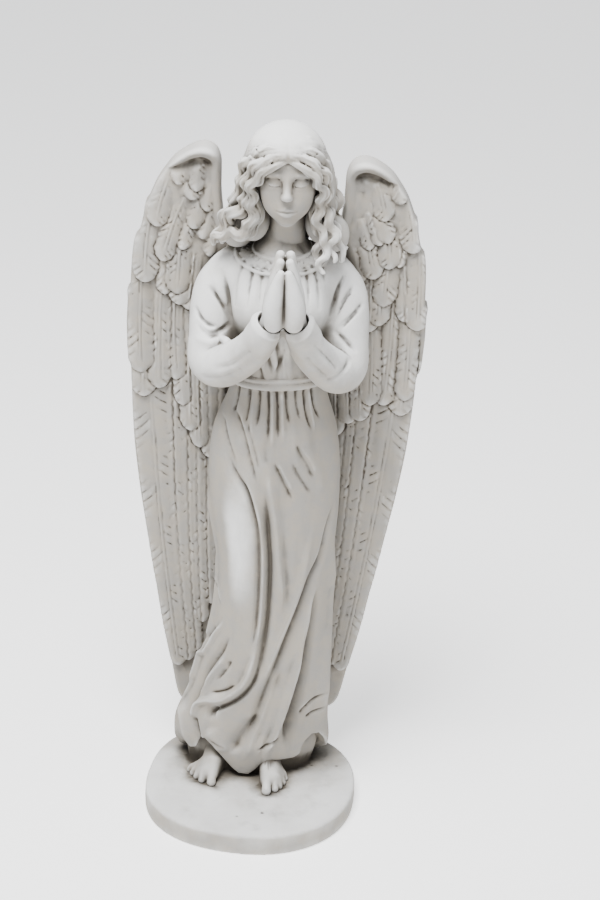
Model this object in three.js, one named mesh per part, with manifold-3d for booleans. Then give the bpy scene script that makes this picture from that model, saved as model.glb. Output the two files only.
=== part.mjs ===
// A standing angel with folded wings and praying hands, on a low oval base: one
// solid of cast stone. Millimetres, +Z up, the figure faces -Y. The origin is
// the middle of the base's underside.
import * as THREE from "three";
import { mergeVertices } from "three/addons/utils/BufferGeometryUtils.js";
import Module from "manifold-3d";

const wasm = await Module();
wasm.setup();

// ---- Driving sizes ----
const BASE = { halfWidth: 149, halfDepth: 143, height: 30, edge: 4, turn: -0.15 };
const WING = { front: 98, thickness: 16, cup: 10, sweep: 20, lowerRight: 13 };
const HEAD = { x: 29, y: 22, z: 918, halfWidth: 41, halfDepth: 50, halfHeight: 58, nod: 0.26 };
const PALM = { x: 29.5, y: -84, z: 745, height: 110 };

// ---- Shaping helpers ----
const lerp = THREE.MathUtils.lerp;
const bump = (distance, width) => Math.exp(-((distance / width) ** 2));

// The figure leans a little to one side: x of its midline at height z.
const midline = (z) => 4.5 + 0.02 * z;

// A smooth value through stations [key, value], in order of rising key.
function through(stations, key) {
  const last = stations.length - 1;
  if (key <= stations[0][0]) return stations[0][1];
  if (key >= stations[last][0]) return stations[last][1];
  const i = stations.findIndex((s) => s[0] > key);
  const [before, after] = [stations[Math.max(i - 2, 0)], stations[Math.min(i + 1, last)]];
  const [a, b] = [stations[i - 1], stations[i]];
  const t = (key - a[0]) / (b[0] - a[0]);
  const span = b[0] - a[0];
  const slopeA = ((b[1] - before[1]) / (b[0] - before[0])) * span;
  const slopeB = ((after[1] - a[1]) / (after[0] - a[0])) * span;
  const [t2, t3] = [t * t, t * t * t];
  return (
    (2 * t3 - 3 * t2 + 1) * a[1] +
    (t3 - 2 * t2 + t) * slopeA +
    (3 * t2 - 2 * t3) * b[1] +
    (t3 - t2) * slopeB
  );
}

function toSolid(geometry) {
  geometry.deleteAttribute("normal");
  geometry.deleteAttribute("uv");
  const merged = mergeVertices(geometry, 1e-3);
  const made = new wasm.Manifold(
    new wasm.Mesh({
      numProp: 3,
      vertProperties: merged.attributes.position.array,
      triVerts: new Uint32Array(merged.index.array),
    }),
  );
  return made;
}

// A closed cylinder bent so that each vertex goes where at(angle, along, out)
// says. Angle 0 is +X and 90 degrees is +Y; out is 0 in the middle of a cap.
function bentCylinder(sides, rows, at) {
  const geometry = new THREE.CylinderGeometry(1, 1, 1, sides, rows);
  const position = geometry.attributes.position;
  const v = new THREE.Vector3();
  for (let i = 0; i < position.count; i++) {
    v.fromBufferAttribute(position, i);
    const out = Math.min(1, Math.hypot(v.x, v.z));
    const [x, y, z] = at(Math.atan2(-v.z, v.x), v.y + 0.5, out);
    position.setXYZ(i, x, y, z);
  }
  return toSolid(geometry);
}

// A limb along a smooth curve. Its section's half widths are sizes(along):
// [across, deep], where deep lies nearest to the direction given.
function limb(points, sides, rows, sizes, deepWay = new THREE.Vector3(0, 1, 0)) {
  const curve = new THREE.CatmullRomCurve3(points.map((p) => new THREE.Vector3(...p)));
  return bentCylinder(sides, rows, (angle, along, out) => {
    const centre = curve.getPoint(along);
    const ahead = curve.getTangent(along);
    const across = new THREE.Vector3().crossVectors(deepWay, ahead).normalize();
    const deep = new THREE.Vector3().crossVectors(ahead, across);
    const [wide, thick] = sizes(along);
    return centre
      .addScaledVector(across, out * wide * Math.cos(angle))
      .addScaledVector(deep, out * thick * Math.sin(angle))
      .toArray();
  });
}

// Half width along a limb with rounded ends.
const rounded = (along, power = 4) => (1 - Math.abs(2 * along - 1) ** power) ** 0.5 * 0.96 + 0.04;

function ball(x, y, z, rx, ry, rz, wide = 10, high = 8) {
  const geometry = new THREE.SphereGeometry(1, wide, high);
  geometry.rotateX(Math.PI / 2);
  geometry.scale(rx, ry, rz);
  geometry.translate(x, y, z);
  return toSolid(geometry);
}

const joined = (solids) => solids.reduce((whole, solid) => whole.add(solid));

// ---- Base ----
function base() {
  const outline = new THREE.Shape();
  const inset = BASE.edge;
  outline.absellipse(
    0,
    0,
    BASE.halfWidth - inset,
    BASE.halfDepth - inset,
    0,
    2 * Math.PI,
    false,
    BASE.turn,
  );
  const slab = new THREE.ExtrudeGeometry(outline, {
    depth: BASE.height - 2 * inset,
    bevelThickness: inset,
    bevelSize: inset,
    bevelSegments: 1,
    curveSegments: 16,
  });
  slab.translate(0, 0, inset);
  return toSolid(slab);
}

// ---- Gown: skirt, waist and chest in one ----
const GOWN = {
  foot: 26,
  top: 822,
  // [height, half width, half depth, sideways from the midline, y of the middle]
  stations: [
    [26, 108, 60, -8, 56],
    [70, 114, 62, -6, 56],
    [104, 112, 60, -8, 54],
    [156, 99, 58, 4, 50],
    [222, 88, 60, 9, 46],
    [303, 80, 64, 14, 43],
    [380, 82, 66, 15, 42],
    [458, 89, 64, 10, 44],
    [565, 84, 56, 6, 47],
    [632, 62, 43, 7, 48],
    [690, 62, 43, 4, 45],
    [740, 72, 48, 4, 45],
    [785, 80, 43, 3, 48],
    [806, 62, 36, 3, 48],
    [822, 34, 30, 4, 44],
  ],
};

// Folds run along a line of points [x, z] on the front; a hollow has height < 0.
const FRONT_FOLDS = [
  { line: [[-14, 560], [2, 470], [12, 400], [12, 300], [-6, 200], [-60, 130]], width: 12, height: -12 },
  { line: [[30, 540], [30, 430], [30, 330], [14, 220], [-14, 100]], width: 11, height: 11 },
  { line: [[96, 440], [76, 360], [52, 290], [34, 200], [14, 60]], width: 12, height: -14 },
  { line: [[86, 300], [74, 200], [52, 60]], width: 12, height: 9 },
  { line: [[-44, 300], [-66, 220], [-100, 120]], width: 13, height: 9 },
];
const THIGH = { x: -20, z: 365, width: 36, height: 105, forward: 24 };

function foldHeight(x, z) {
  let height = THIGH.forward * bump(x - THIGH.x, THIGH.width) * bump(z - THIGH.z, THIGH.height);
  for (const fold of FRONT_FOLDS) {
    const line = fold.line.map(([lineX, lineZ]) => [lineZ, lineX]).reverse();
    const [low, high] = [line[0][0], line[line.length - 1][0]];
    const past = Math.max(low - z, z - high, 0);
    height += fold.height * bump(x - through(line, z), fold.width) * bump(past, 25);
  }
  return height;
}

const BACK_FOLDS = { count: 9, depth: 4, fadeFrom: 600 };

function gown() {
  const station = (k, z) => through(GOWN.stations.map((s) => [s[0], s[k]]), z);
  return bentCylinder(36, 18, (turn, along, out) => {
    const angle = turn - 0.35 * Math.cos(turn); // more facets in front than behind
    const z = lerp(GOWN.foot, GOWN.top, along);
    const across = Math.cos(angle) * station(1, z);
    const x = midline(z) + station(3, z) + out * across;
    let deep = Math.sin(angle) * station(2, z);
    const facing = -Math.sin(angle);
    const below = THREE.MathUtils.smoothstep(BACK_FOLDS.fadeFrom - z, 0, 80);
    if (facing > 0) deep -= below * foldHeight(x, z) * facing ** 0.5;
    else deep += below * BACK_FOLDS.depth * Math.cos(BACK_FOLDS.count * 2 * angle);
    return [x, station(4, z) + out * deep, z];
  });
}

// The hem lifts over each foot and at the left: these hollows are cut out of it.
function underHem() {
  return joined([
    ball(-54, -8, 44, 30, 74, 40),
    ball(20, -24, 36, 26, 52, 24),
    ball(84, 0, 44, 18, 66, 46),
  ]);
}

function sash() {
  const [z, drop, halfWidth] = [646, 8, 66];
  return bentCylinder(20, 3, (angle, along, out) => {
    const level = z + drop * Math.sin(angle) + 3 * Math.cos(angle);
    const proud = out * (along > 0.2 && along < 0.8 ? 1.03 : 0.98);
    return [
      midline(z) + 7 + proud * halfWidth * Math.cos(angle),
      48 + proud * 47 * Math.sin(angle),
      level + lerp(-9, 9, along),
    ];
  });
}

function collar() {
  return bentCylinder(16, 2, (angle, along, out) => {
    const reach = lerp(1, 0.6, along);
    return [
      midline(820) + 3 + out * reach * 50 * Math.cos(angle),
      34 + out * reach * 54 * Math.sin(angle),
      lerp(806, 838, along) + out * 8 * (1 - along) * Math.sin(angle),
    ];
  });
}

// ---- Arms and hands; side is -1 for the viewer's left and 1 for the right ----
function sleeve(side) {
  const x = (offset) => 23 + side * offset;
  return limb(
    [
      [x(60), 50, 795],
      [x(86), 42, 735],
      [x(88), 22, 672],
      [x(52), -30, 690],
      [x(15), -70, 752],
    ],
    10,
    9,
    (along) => {
      const size = through([[0, 20], [0.12, 28], [0.35, 28], [0.55, 29], [0.8, 24], [1, 21]], along);
      return [size, size];
    },
    new THREE.Vector3(0.2, 1, 0.4),
  );
}

function hand(side) {
  const { x, y, z, height } = PALM;
  const palm = limb(
    [
      [x + side * 17, y + 8, z],
      [x + side * 13, y, z + height * 0.35],
      [x + side * 7, y + 2, z + height * 0.9],
    ],
    7,
    4,
    (along) => [
      through([[0, 10], [0.3, 13], [0.7, 9], [1, 4]], along),
      through([[0, 13], [0.3, 19], [0.7, 17], [1, 8]], along),
    ],
  );
  // The little finger stands in front and is the shortest.
  const fingers = [
    { forward: -17, top: 0.86, thick: 5 },
    { forward: -7, top: 1.0, thick: 5.5 },
    { forward: 4, top: 1.03, thick: 5.5 },
  ].map(({ forward, top, thick }) =>
    limb(
      [
        [x + side * 12, y + forward * 0.7, z + height * 0.35],
        [x + side * 9, y + forward, z + height * 0.6],
        [x + side * 4.5, y + 2 + forward * 0.75, z + height * top],
      ],
      5,
      3,
      (along) => [thick * rounded(along), thick * rounded(along)],
    ),
  );
  return joined([palm, ...fingers]);
}

// ---- Feet ----
function foot({ x, y, turn, length }) {
  const top = BASE.height;
  const across = new THREE.Vector2(Math.cos(turn), Math.sin(turn));
  const place = (side, ahead, up) => [
    x + side * across.x + ahead * across.y,
    y + side * across.y - ahead * across.x,
    top + up,
  ];
  const sole = limb(
    [place(0, -length * 0.5, 26), place(0, 0, 18), place(0, length * 0.38, 5)],
    7,
    3,
    (along) => [lerp(15, 21, along), lerp(20, 8, along)],
    new THREE.Vector3(0, 0, 1),
  );
  const toes = [-14, -5.5, 2, 9, 15].map((side, i) =>
    limb(
      [
        place(side * 0.9, length * 0.2, 6),
        place(side, length * (0.5 - 0.02 * i * i), 7),
        place(side, length * (0.62 - 0.025 * i * i), 3),
      ],
      5,
      2,
      (along) => {
        const thick = (i ? 4.2 : 6.5) * rounded(along);
        return [thick, thick];
      },
      new THREE.Vector3(0, 0, 1),
    ),
  );
  return joined([sole, ...toes]);
}

// ---- Head ----
function faceRelief(x, z) {
  const half = Math.abs(x);
  return (
    11 * bump(x, 5) * bump(z + 17, 13) + // nose
    5 * bump(x, 5) * bump(z, 12) +
    -5 * bump(half - 15, 9) * bump(z + 1, 7) + // eye hollows
    3.5 * bump(half - 15, 6.5) * bump(z + 3, 4) + // lids
    3.5 * bump(x, 12) * bump(z + 33, 6) + // lips
    4 * bump(x, 11) * bump(z + 49, 9) + // chin
    2 * bump(half - 22, 12) * bump(z + 20, 14) // cheeks
  );
}

function head() {
  const geometry = new THREE.SphereGeometry(1, 18, 14);
  geometry.rotateX(Math.PI / 2);
  const position = geometry.attributes.position;
  const v = new THREE.Vector3();
  for (let i = 0; i < position.count; i++) {
    v.fromBufferAttribute(position, i);
    const jaw = v.z < 0 ? 1 - 0.32 * v.z * v.z : 1;
    const x = v.x * HEAD.halfWidth * jaw;
    const z = v.z * HEAD.halfHeight;
    const front = v.y < 0 ? -v.y : 0;
    const y = v.y * HEAD.halfDepth - front ** 1.5 * faceRelief(x, z);
    v.set(x, y, z).applyAxisAngle(new THREE.Vector3(1, 0, 0), HEAD.nod);
    position.setXYZ(i, v.x + HEAD.x, v.y + HEAD.y, v.z + HEAD.z);
  }
  return toSolid(geometry);
}

function neck() {
  return limb([[28, 46, 800], [29, 40, 850], [29, 34, 910]], 14, 3, (along) => {
    const thick = through([[0, 30], [0.3, 23], [1, 24]], along);
    return [thick, thick];
  });
}

// Hair: a cap over the crown, a fall behind the neck, and wavy locks that start
// at the parting, pass the temple and end on the shoulder.
const LOCKS = { perSide: 5, waves: 2.2, thick: 14, wave: 7 };

function hairMass() {
  const cap = ball(HEAD.x, HEAD.y + 9, HEAD.z + 14, 50, 55, 55, 14, 10);
  const fall = limb([[29, 62, 945], [29, 78, 880], [27, 84, 795]], 10, 4, (along) => [
    through([[0, 38], [0.5, 58], [1, 44]], along) * rounded(along, 8),
    through([[0, 20], [0.5, 24], [1, 16]], along) * rounded(along, 8),
  ]);
  return cap.add(fall);
}

function lock(side, i) {
  const t = i / (LOCKS.perSide - 1); // 0 beside the face, 1 at the back
  const end = lerp(side > 0 ? 806 : 824, 806, t);
  const points = [];
  for (let k = 0; k <= 8; k++) {
    const s = k / 8;
    const wave = Math.sin(s * LOCKS.waves * 2 * Math.PI + i * 1.9 + side) * LOCKS.wave * Math.min(1, s * 2);
    const away = through([[0, 12 + 12 * t], [0.25, 43], [0.6, 56 + 4 * t], [1, 50 + 22 * (1 - t)]], s);
    points.push([
      HEAD.x + side * (away + wave),
      lerp(lerp(-22, 62, t), lerp(2, 70, t), s),
      lerp(lerp(957, 962, t), end, s ** 1.15),
    ]);
  }
  return limb(points, 5, 6, (along) => {
    const thick = LOCKS.thick * rounded(along) * lerp(1, 0.8, along);
    return [thick, thick];
  });
}

// ---- Wings: measured as span from the midline and height ----
const WING_EDGE = [
  [16, 790], [22, 600], [42, 400], [68, 220], [96, 98], [110, 88], [122, 117], [135, 184], [152, 283],
  [165, 363], [177, 441], [187, 518], [197, 600], [201, 674], [201, 732], [196, 788], [187, 830],
  [172, 873], [148, 912], [112, 935], [90, 926], [80, 890], [74, 850], [56, 825],
];
// Rows from the lowest layer to the top one: roots and tips from the outermost
// feather to the innermost, as [span, height].
const FEATHER_ROWS = [
  { count: 5, roots: [[176, 640], [88, 540]], tips: [[119, 150], [76, 215]], widths: [22, 9.5], proud: 2.5, bow: 14 },
  { count: 3, roots: [[176, 745], [142, 740]], tips: [[178, 605], [132, 604]], widths: [19, 14], proud: 6, bow: 0 },
  { count: 4, roots: [[122, 700], [90, 640]], tips: [[121, 555], [88, 497]], widths: [13, 11], proud: 7, bow: 0 },
  { count: 4, roots: [[170, 860], [110, 800]], tips: [[180, 735], [116, 712]], widths: [18, 13], proud: 10, bow: 4 },
  { count: 4, roots: [[146, 905], [98, 865]], tips: [[168, 812], [102, 800]], widths: [17, 12], proud: 12, bow: 4 },
  { count: 3, roots: [[132, 925], [104, 915]], tips: [[146, 858], [108, 852]], widths: [14, 12], proud: 14, bow: 2 },
];
const dropOf = (side, z) => (side > 0 ? WING.lowerRight * THREE.MathUtils.smoothstep(z, 400, 900) : 0);

// Bends a flat shape, x for span and z for height, into the wing's cupped place.
function placeOnWing(geometry, side) {
  const position = geometry.attributes.position;
  for (let i = 0; i < position.count; i++) {
    const [span, y, height] = [position.getX(i), position.getY(i), position.getZ(i)];
    const z = height - dropOf(side, height);
    const cupped = WING.cup * ((span - 60) / 140) ** 2;
    const swept = WING.sweep * THREE.MathUtils.smoothstep(450 - z, 0, 300);
    position.setXYZ(i, midline(z) + side * span, WING.front + y - cupped + swept, z);
  }
  if (side < 0) {
    // Mirroring turns the faces round, so each triangle is listed backwards.
    const flat = position.array.slice();
    for (let i = 0; i < position.count; i += 3) {
      for (let k = 0; k < 3; k++) {
        const from = (i + 2 - k) * 3;
        position.setXYZ(i + k, flat[from], flat[from + 1], flat[from + 2]);
      }
    }
  }
  return toSolid(geometry);
}

// An extruded outline stood up: outline x is span, outline y is height.
function upright(shape, depth) {
  const geometry = new THREE.ExtrudeGeometry(shape, {
    depth,
    bevelEnabled: false,
    curveSegments: 2,
  });
  geometry.rotateX(Math.PI / 2);
  return geometry.index ? geometry.toNonIndexed() : geometry;
}

function feather(side, row, t) {
  const [rootSpan, rootZ] = [0, 1].map((k) => lerp(row.roots[0][k], row.roots[1][k], t));
  const [tipSpan, tipZ] = [0, 1].map((k) => lerp(row.tips[0][k], row.tips[1][k], t));
  const half = lerp(row.widths[0], row.widths[1], t);
  const length = Math.hypot(tipSpan - rootSpan, tipZ - rootZ);
  const way = Math.atan2(tipSpan - rootSpan, rootZ - tipZ);
  const leaf = new THREE.Shape();
  leaf.moveTo(-half * 0.6, 0);
  leaf.lineTo(-half, -length * 0.5);
  leaf.bezierCurveTo(-half, -length * 0.9, -half * 0.6, -length, 0, -length);
  leaf.bezierCurveTo(half * 0.6, -length, half, -length * 0.9, half, -length * 0.5);
  leaf.lineTo(half * 0.6, 0);
  const geometry = upright(leaf, 12);
  const position = geometry.attributes.position;
  for (let i = 0; i < position.count; i++) {
    const [x, y, z] = [position.getX(i), position.getY(i), position.getZ(i)];
    const along = -z / length;
    const bowed = x + row.bow * Math.sin(Math.PI * along);
    const tilted = y + 12 - row.proud * lerp(0.45, 1, along) + 1.5 * Math.abs(x / half) - 1.5;
    position.setXYZ(
      i,
      rootSpan + bowed * Math.cos(way) - z * Math.sin(way),
      tilted,
      rootZ + bowed * Math.sin(way) + z * Math.cos(way),
    );
  }
  return placeOnWing(geometry, side);
}

function wing(side) {
  const outline = new THREE.Shape(WING_EDGE.map(([span, z]) => new THREE.Vector2(span, z)));
  const plate = upright(outline, WING.thickness);
  plate.translate(0, WING.thickness, 0);
  const solids = [placeOnWing(plate, side)];
  for (const row of FEATHER_ROWS) {
    for (let i = 0; i < row.count; i++) {
      solids.push(feather(side, row, row.count > 1 ? i / (row.count - 1) : 0));
    }
  }
  const rim = [[66, 800], [82, 850], [84, 895], [96, 924], [118, 929], [148, 906], [172, 866], [186, 826]];
  solids.push(
    limb(
      rim.map(([span, z]) => {
        const low = z - dropOf(side, z);
        return [midline(low) + side * span, WING.front + 2, low];
      }),
      6,
    9,
      (along) => {
        const thick = through([[0, 12], [0.4, 14], [0.7, 9], [1, 4]], along);
        return [thick, thick];
      },
    ),
  );
  return joined(solids);
}

// ---- The whole casting ----
function angel() {
  const solids = [base(), gown().subtract(underHem()), sash(), collar(), neck(), head(), hairMass()];
  for (const side of [-1, 1]) {
    solids.push(wing(side), sleeve(side), hand(side));
    for (let i = 0; i < LOCKS.perSide; i++) solids.push(lock(side, i));
  }
  solids.push(foot({ x: -50, y: 2, turn: -0.25, length: 62 }));
  solids.push(foot({ x: 24, y: -8, turn: 0.1, length: 62 }));
  const whole = joined(solids);
  // Hollows closed off inside, such as behind a lock of hair, are filled.
  return joined(whole.decompose().filter((body) => body.volume() > 0));
}

function toGeometry(solid) {
  const mesh = solid.getMesh();
  return new THREE.BufferGeometry()
    .setAttribute("position", new THREE.BufferAttribute(mesh.vertProperties, 3))
    .setIndex(new THREE.BufferAttribute(mesh.triVerts, 1));
}

const castStone = new THREE.MeshStandardMaterial({ color: 0xc9c7c0, roughness: 0.9, metalness: 0 });
const statue = new THREE.Mesh(toGeometry(angel()), castStone);
statue.name = "angel_statue";

const group = new THREE.Group();
group.add(statue);
export default group;
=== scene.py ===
import math
import time

import bmesh
import bpy
import numpy as np
import openvdb
from mathutils import Matrix, Vector


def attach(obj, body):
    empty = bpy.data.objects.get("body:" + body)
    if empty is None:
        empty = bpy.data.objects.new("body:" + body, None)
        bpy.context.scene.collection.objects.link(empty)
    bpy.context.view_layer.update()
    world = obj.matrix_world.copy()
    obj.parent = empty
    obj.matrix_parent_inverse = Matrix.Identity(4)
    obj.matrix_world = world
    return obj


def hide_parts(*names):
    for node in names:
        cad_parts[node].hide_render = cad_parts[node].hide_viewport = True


started = time.time()


def say(stage):
    print(f"{time.time() - started:6.1f} s  {stage}")


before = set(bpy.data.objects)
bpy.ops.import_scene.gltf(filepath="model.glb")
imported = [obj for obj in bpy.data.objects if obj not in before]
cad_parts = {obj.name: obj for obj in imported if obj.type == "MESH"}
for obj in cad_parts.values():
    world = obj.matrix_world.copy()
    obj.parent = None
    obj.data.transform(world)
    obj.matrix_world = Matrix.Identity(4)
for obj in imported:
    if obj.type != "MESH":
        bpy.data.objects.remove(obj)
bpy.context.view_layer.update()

# Everything is sculpted in millimetres, in the frame of the CAD part, and
# becomes metres when it turns into a mesh.
coarser = 1.0


# clay: a block of signed distances, negative inside the stone

def smoothMin(a, b, blend):
    if blend <= 0:
        return np.minimum(a, b)
    near = np.maximum(blend - np.abs(a - b), 0) / blend
    return np.minimum(a, b) - near * near * blend * 0.25


def through(stations, keys, column=1):
    # smooth curve through [key, value, ...] rows, in order of rising key
    known = np.array([row[0] for row in stations], float)
    values = np.array([row[column] for row in stations], float)
    slopes = np.gradient(values, known)
    keys = np.clip(keys, known[0], known[-1])
    i = np.clip(np.searchsorted(known, keys, side="right") - 1, 0, len(known) - 2)
    span = known[i + 1] - known[i]
    t = (keys - known[i]) / span
    return ((2 * t**3 - 3 * t**2 + 1) * values[i] + (t**3 - 2 * t**2 + t) * slopes[i] * span
            + (3 * t**2 - 2 * t**3) * values[i + 1] + (t**3 - t**2) * slopes[i + 1] * span)


def smoothPath(points, spacing):
    # a Catmull-Rom curve through the rows of points, sampled about every `spacing` mm
    rows = np.array(points, float)
    if len(rows) == 2:
        steps = max(2, int(np.linalg.norm(rows[1, :2] - rows[0, :2]) / spacing) + 1)
        return rows[0] + (rows[1] - rows[0]) * np.linspace(0, 1, steps)[:, None]
    padded = np.vstack([2 * rows[0] - rows[1], rows, 2 * rows[-1] - rows[-2]])
    out = []
    for i in range(1, len(padded) - 2):
        p0, p1, p2, p3 = padded[i - 1:i + 3]
        steps = max(2, int(np.linalg.norm(p2[:3] - p1[:3]) / spacing) + 1)
        t = (np.arange(steps) / steps)[:, None]
        out.append(0.5 * (2 * p1 + (p2 - p0) * t + (2 * p0 - 5 * p1 + 4 * p2 - p3) * t**2
                          + (3 * p1 - p0 - 3 * p2 + p3) * t**3))
    out.append(rows[-1:])
    return np.vstack(out)


class Clay:
    def __init__(self, low, high, voxel):
        self.voxel = voxel * coarser
        self.low = np.array(low, float)
        counts = np.ceil((np.array(high) - self.low) / self.voxel).astype(int) + 1
        self.field = np.full(counts, 60, np.float32)

    def window(self, low, high):
        start = np.clip(((np.array(low) - self.low) / self.voxel).astype(int), 0, self.field.shape)
        stop = np.clip(((np.array(high) - self.low) / self.voxel).astype(int) + 2, start, self.field.shape)
        slices = tuple(slice(a, b) for a, b in zip(start, stop))
        x, y, z = (np.float32(self.low[k] + self.voxel * np.arange(start[k], stop[k])) for k in range(3))
        return slices, x[:, None, None], y[None, :, None], z[None, None, :]

    def put(self, slices, distance, blend, cut=False):
        old = self.field[slices]
        self.field[slices] = -smoothMin(-old, distance, blend) if cut else smoothMin(old, distance, blend)

    def blob(self, centre, radii, blend=6, turn=None, cut=False):
        centre = np.array(centre, float)
        reach = max(radii) + blend
        slices, x, y, z = self.window(centre - reach, centre + reach)
        p = [x - centre[0], y - centre[1], z - centre[2]]
        if turn is not None:  # columns of the turn are the blob's own axes
            p = [turn[0][k] * p[0] + turn[1][k] * p[1] + turn[2][k] * p[2] for k in range(3)]
        r = [np.float32(v) for v in radii]
        k0 = np.sqrt((p[0] / r[0])**2 + (p[1] / r[1])**2 + (p[2] / r[2])**2)
        k1 = np.sqrt((p[0] / r[0]**2)**2 + (p[1] / r[1]**2)**2 + (p[2] / r[2]**2)**2)
        self.put(slices, k0 * (k0 - 1) / np.maximum(k1, 1e-6), blend, cut)

    def limb(self, points, radii, blend=6, cut=False, spacing=5):
        # a round bar along a smooth path; radii is one number or one per point
        radii = np.broadcast_to(radii, len(points))
        path = smoothPath([[*p, r] for p, r in zip(points, radii)], spacing)
        reach = path[:, 3].max() + blend + self.voxel
        slices = self.window(path[:, :3].min(0) - reach, path[:, :3].max(0) + reach)[0]
        local = np.full(self.field[slices].shape, 60, np.float32)
        if not local.size:
            return
        first = np.array([s.start for s in slices])
        for a, b in zip(path[:-1], path[1:]):
            inner, px, py, pz = self.window(np.minimum(a, b)[:3] - reach, np.maximum(a, b)[:3] + reach)
            inner = tuple(slice(s.start - f, s.stop - f) for s, f in zip(inner, first))
            ab = b - a
            px, py, pz = px - a[0], py - a[1], pz - a[2]
            t = np.clip((px * ab[0] + py * ab[1] + pz * ab[2]) / max(ab[:3] @ ab[:3], 1e-6), 0, 1)
            away = np.sqrt((px - t * ab[0])**2 + (py - t * ab[1])**2 + (pz - t * ab[2])**2)
            local[inner] = np.minimum(local[inner], away - (a[3] + t * ab[3]))
        self.put(slices, local, blend, cut)

    def surface(self, x, z, back=False):
        # y of the front (or back) surface at each x, z
        ix = np.clip(np.round((x - self.low[0]) / self.voxel).astype(int), 0, self.field.shape[0] - 1)
        iz = np.clip(np.round((z - self.low[2]) / self.voxel).astype(int), 0, self.field.shape[2] - 1)
        columns = self.field[ix, :, iz]
        if back:
            columns = columns[:, ::-1]
        j = np.clip(np.argmax(columns < 0, axis=1), 1, None)
        rows = np.arange(len(j))
        here, before = columns[rows, j], columns[rows, j - 1]
        j = j - here / np.minimum(here - before, -1e-3)
        return self.low[1] + self.voxel * (self.field.shape[1] - 1 - j if back else j)

    def at(self, points):
        # the field at each point, between the voxels
        f = np.clip((points - self.low) / self.voxel, 0, np.array(self.field.shape) - 1.001)
        i = f.astype(int)
        t = f - i
        out = np.zeros(len(points))
        for corner in range(8):
            step = np.array([corner & 1, corner >> 1 & 1, corner >> 2 & 1])
            weight = np.prod(np.where(step, t, 1 - t), axis=1)
            out += weight * self.field[tuple((i + step).T)]
        return out

    def snap(self, points, lift=0.0, rounds=6):
        # moves points to the surface, or to a height over it
        points = np.array(points, float)
        for _ in range(rounds):
            slope = np.stack([self.at(points + d) - self.at(points - d)
                              for d in np.eye(3) * self.voxel * 1.5], 1)
            slope /= np.maximum(np.linalg.norm(slope, axis=1), 1e-6)[:, None]
            points -= slope * np.clip(self.at(points) - lift, -8, 8)[:, None]
        return points

    def stroke(self, line, width, height, blend=3, back=False, fade=0.35):
        # a ridge (height > 0) or a groove laid along the surface: line is [x, z] points
        path = smoothPath(line, 3)
        y = self.surface(path[:, 0], path[:, 1], back)
        if len(y) > 6:
            y = np.convolve(np.pad(y, 2, mode="edge"), np.ones(5) / 5, mode="valid")
        t = np.linspace(0, 1, len(path))
        ends = np.clip(np.minimum(t, 1 - t) / fade, 0, 1) ** 0.7 if fade else np.ones(len(t))
        outward = 1 if back else -1
        tall = abs(height) * ends
        depth = (tall - width) if height > 0 else (width - tall)
        points = np.stack([path[:, 0], y + outward * depth, path[:, 1]], 1)
        self.limb(points, np.full(len(points), width), blend, cut=height < 0, spacing=50)

    def close(self):
        # no stone may touch the block's sides, nor two voxels meet only along an edge
        field = self.field
        for axis in range(3):
            sides = np.moveaxis(field, axis, 0)
            for k in (0, 1, -2, -1):
                sides[k] = np.maximum(sides[k], 0.3 * self.voxel)
        for _ in range(6):
            found = 0
            for one, two in ((0, 1), (0, 2), (1, 2)):
                view = np.moveaxis(field, (one, two), (0, 1))
                solid = view < 0
                a, b, c, d = solid[:-1, :-1], solid[1:, 1:], solid[1:, :-1], solid[:-1, 1:]
                ties = ((a & b & ~c & ~d, (1, 0), (0, 1)), (c & d & ~a & ~b, (0, 0), (1, 1)))
                for crossed, low, high in ties:
                    spots = np.nonzero(crossed)
                    found += len(spots[0])
                    for step in (low, high):
                        there = (spots[0] + step[0], spots[1] + step[1], spots[2])
                        view[there] = -0.02 * self.voxel
            if not found:
                break

    def mesh(self, name, triangles):
        self.close()
        grid = openvdb.FloatGrid(60.0)
        grid.copyFromArray(np.clip(self.field, -4 * self.voxel, 4 * self.voxel))
        grid.transform = openvdb.createLinearTransform(self.voxel)
        points, corners = grid.convertToQuads(isovalue=0.0)
        points = (points + self.low) * 0.001
        made = bpy.data.meshes.new(name)
        made.vertices.add(len(points))
        made.vertices.foreach_set("co", points.astype(np.float32).ravel())
        made.loops.add(4 * len(corners))
        made.loops.foreach_set("vertex_index", corners.astype(np.int32).ravel())
        made.polygons.add(len(corners))
        made.polygons.foreach_set("loop_start", np.arange(len(corners), dtype=np.int32) * 4)
        made.update(calc_edges=True)
        made.validate()
        piece = bpy.data.objects.new(name, made)
        bpy.context.scene.collection.objects.link(piece)
        thin(piece, triangles)
        say(f"{name}: {2 * len(corners)} triangles, thinned to {len(piece.data.polygons)}")
        return piece


def applyModifiers(piece):
    depsgraph = bpy.context.evaluated_depsgraph_get()
    made = bpy.data.meshes.new_from_object(piece.evaluated_get(depsgraph))
    piece.modifiers.clear()
    old = piece.data
    piece.data = made
    bpy.data.meshes.remove(old)


def thin(piece, triangles):
    have = len(piece.data.loops) - 2 * len(piece.data.polygons)
    if triangles and have > triangles:
        decimate = piece.modifiers.new("thin", "DECIMATE")
        decimate.ratio = triangles / have
        applyModifiers(piece)


# relief: a height map over a surface laid flat, painted with folds and feathers

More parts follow.
